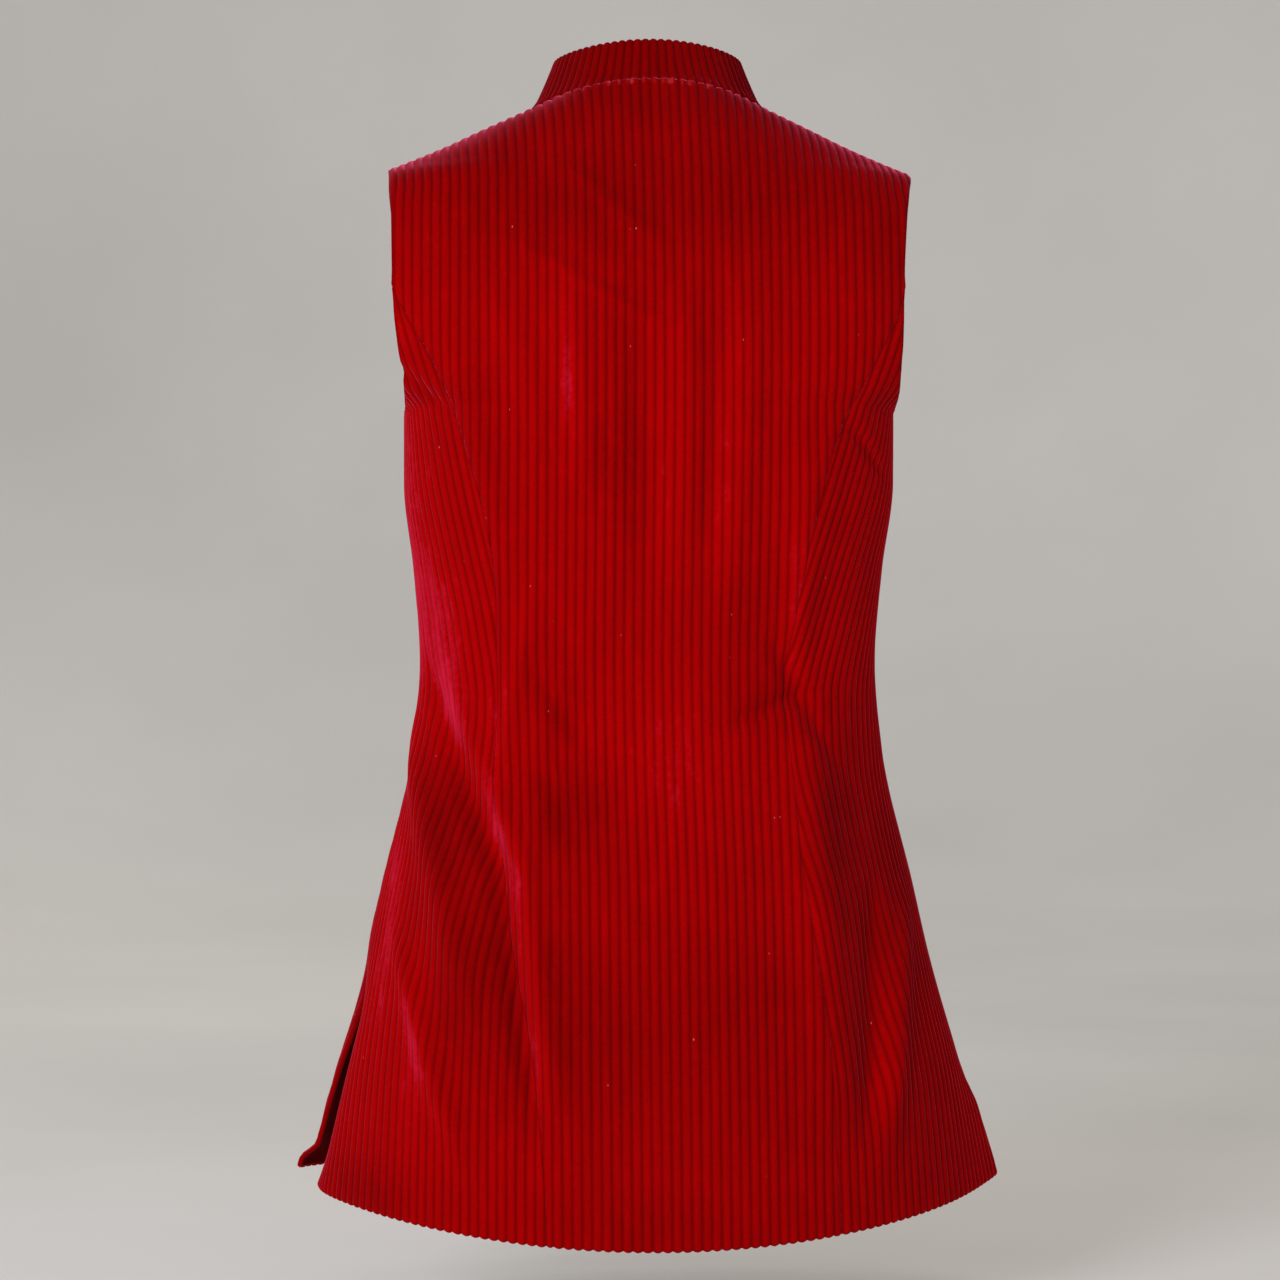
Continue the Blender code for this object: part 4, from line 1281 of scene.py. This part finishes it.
def buttonhole():
    """A worked buttonhole: a slot edged all round with close stitches, level at the origin."""
    deselect_all()
    bpy.ops.mesh.primitive_torus_add(
        major_segments=96, minor_segments=10, major_radius=BUTTONHOLE_END * MM,
        minor_radius=STITCH_RADIUS * MM)
    edging = bpy.context.object
    for vertex in edging.data.vertices:
        turn = math.atan2(vertex.co.y, vertex.co.x)
        vertex.co.x += math.copysign(BUTTONHOLE_HALF * MM, math.cos(turn))
        vertex.co.z *= STITCH_HEIGHT + STITCH_WAVE * math.cos(STITCH_COUNT * turn)
    bpy.ops.object.shade_smooth()
    return edging


def lap_place(height, lift):
    """A point over the lap at centre front, and the way out from it."""
    point, normal = front_frame(np.array([OFF_CENTRE]), height)
    return Vector((point[0] + normal[0] * (WALE_HEIGHT + LAP_OVER + lift)) * MM), Vector(normal[0])


def place_copy(model, name, height, lift, material):
    """A copy of a piece with its own mesh, set square on the lap at a height."""
    spot, normal = lap_place(height, lift)
    across = Vector((-1, 0, 0))
    up = normal.cross(across).normalized()
    across = up.cross(normal).normalized()
    turn = Matrix((across, up, normal)).transposed().to_4x4()
    thing = bpy.data.objects.new(name, model.data.copy())
    bpy.context.collection.objects.link(thing)
    thing.data.transform(Matrix.Translation(spot) @ turn)
    thing.data.materials.clear()
    thing.data.materials.append(material)
    return thing


# The cloth
pile_cloth = corduroy()
back_of_cloth = woven_back()
cloth_slots = [pile_cloth, back_of_cloth]

Sheet = namedtuple("Sheet", "node cut rolled faced thickness width length area")
SHEETS = [
    Sheet("back_centre", back_centre_cut(), "bottom", False, WALL, 0.37, 0.76, 0.204),
    Sheet("back_side_left", side_back_cut(-1), "bottom", False, WALL, 0.24, 0.62, 0.080),
    Sheet("back_side_right", side_back_cut(1), "bottom", False, WALL, 0.24, 0.62, 0.080),
    Sheet("front_left", front_cut(-1), "bottom", False, WALL, 0.36, 0.73, 0.181),
    Sheet("front_right", front_cut(1), "bottom", False, WALL, 0.36, 0.73, 0.181),
    Sheet("collar", collar_cut(), "top", True, COLLAR_THICKNESS, 0.45, 0.04, 0.0155),
]
for sheet in SHEETS:
    piece = cloth(
        sheet.node + "_cloth", sheet.cut, sheet.thickness, sheet.rolled, sheet.faced,
        cloth_slots)
    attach(piece, "root")
    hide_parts(sheet.node)

# The buttons, their thread and their buttonholes
resin = moulded_resin()
thread = sewing_thread()
disc_model = button_disc()
thread_model = button_thread()
hole_model = buttonhole()
for number in range(1, BUTTON_COUNT + 1):
    height = BUTTON_TOP + BUTTON_STEP * (number - 1)
    disc = place_copy(disc_model, "button_%d_disc" % number, height, BUTTON_LIFT, resin)
    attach(disc, "root")
    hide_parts("button_%d" % number)
    stitches = place_copy(thread_model, "button_%d_thread" % number, height, BUTTON_LIFT, thread)
    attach(stitches, "root")
    hole = place_copy(hole_model, "buttonhole_%d" % number, height, BUTTONHOLE_LIFT, thread)
    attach(hole, "root")
for model in (disc_model, thread_model, hole_model):
    bpy.data.objects.remove(model, do_unlink=True)

# The studio: a pale floor that sweeps up on all sides, soft light, and the camera
Sweep = namedtuple("Sweep", "radius height")
FLOOR_SWEEP = [
    Sweep(0.0, -0.80), Sweep(2.0, -0.80), Sweep(3.2, -0.80), Sweep(3.9, -0.66),
    Sweep(4.4, -0.30), Sweep(4.7, 0.25), Sweep(4.8, 1.0), Sweep(4.8, 2.0),
]


def studio_floor():
    deselect_all()
    mesh = bpy.data.meshes.new("floor")
    thing = bpy.data.objects.new("floor", mesh)
    bpy.context.collection.objects.link(thing)
    build = bmesh.new()
    verts = [build.verts.new((row.radius, 0, row.height)) for row in FLOOR_SWEEP]
    edges = [build.edges.new(pair) for pair in zip(verts, verts[1:])]
    bmesh.ops.spin(
        build, geom=verts + edges, cent=(0, 0, 0), axis=(0, 0, 1), angle=2 * math.pi,
        steps=64, use_duplicate=False)
    bmesh.ops.remove_doubles(build, verts=build.verts[:], dist=1e-5)
    bmesh.ops.recalc_face_normals(build, faces=build.faces[:])
    build.to_mesh(mesh)
    build.free()
    smooth = thing.modifiers.new("smooth", "SUBSURF")
    smooth.levels = 2
    smooth.render_levels = 2
    mesh.shade_smooth()
    mesh.materials.append(lit_paper())
    return thing


studio_floor()

Lamp = namedtuple("Lamp", "name place size spread watts colour")
LAMPS = [
    Lamp("window left", (-1.9, -2.7, 0.3), 1.4, 120, 59, "EEF3FF"),
    Lamp("fill behind the camera", (0.5, -3.2, -0.2), 2.0, 120, 6, "FFF9F0"),
    Lamp("fill right", (2.6, -1.5, 0.2), 1.4, 120, 11, "FFE8D0"),
    Lamp("fill front", (-1.4, 2.6, 1.9), 1.8, 180, 37, "FFF8F0"),
    Lamp("ceiling", (0.0, 0.0, 2.8), 2.0, 120, 2, "F4F6FF"),
]
MIDDLE = Vector((0, 0, -0.36))
for lamp in LAMPS:
    light = bpy.data.lights.new(lamp.name, "AREA")
    light.shape = "SQUARE"
    light.size = lamp.size
    light.spread = math.radians(lamp.spread)
    light.energy = lamp.watts
    light.color = linear(lamp.colour)[:3]
    stand = bpy.data.objects.new(lamp.name, light)
    stand.location = lamp.place
    aim = MIDDLE - Vector(lamp.place)
    stand.rotation_euler = aim.to_track_quat("-Z", "Y").to_euler()
    stand.visible_camera = False
    bpy.context.collection.objects.link(stand)

world = bpy.data.worlds.new("studio air")
world.use_nodes = True
air = world.node_tree.nodes["Background"]
air.inputs["Color"].default_value = linear(AIR)
air.inputs["Strength"].default_value = 0.08
bpy.context.scene.world = world

turn = math.radians(CAMERA_TURN)
camera_data = bpy.data.cameras.new("camera")
camera_data.sensor_fit = "HORIZONTAL"
camera_data.lens = camera_data.sensor_width * FOCAL_PIXELS / PICTURE
camera_data.shift_x = -PICTURE_SHIFT / PICTURE
camera = bpy.data.objects.new("camera", camera_data)
camera.location = Vector((
    -CAMERA_DISTANCE * math.sin(turn), -CAMERA_DISTANCE * math.cos(turn), CAMERA_HEIGHT)) * MM
camera.rotation_euler = (math.pi / 2, 0, -turn)
bpy.context.collection.objects.link(camera)
bpy.context.scene.camera = camera
bpy.context.scene.view_settings.view_transform = "Standard"
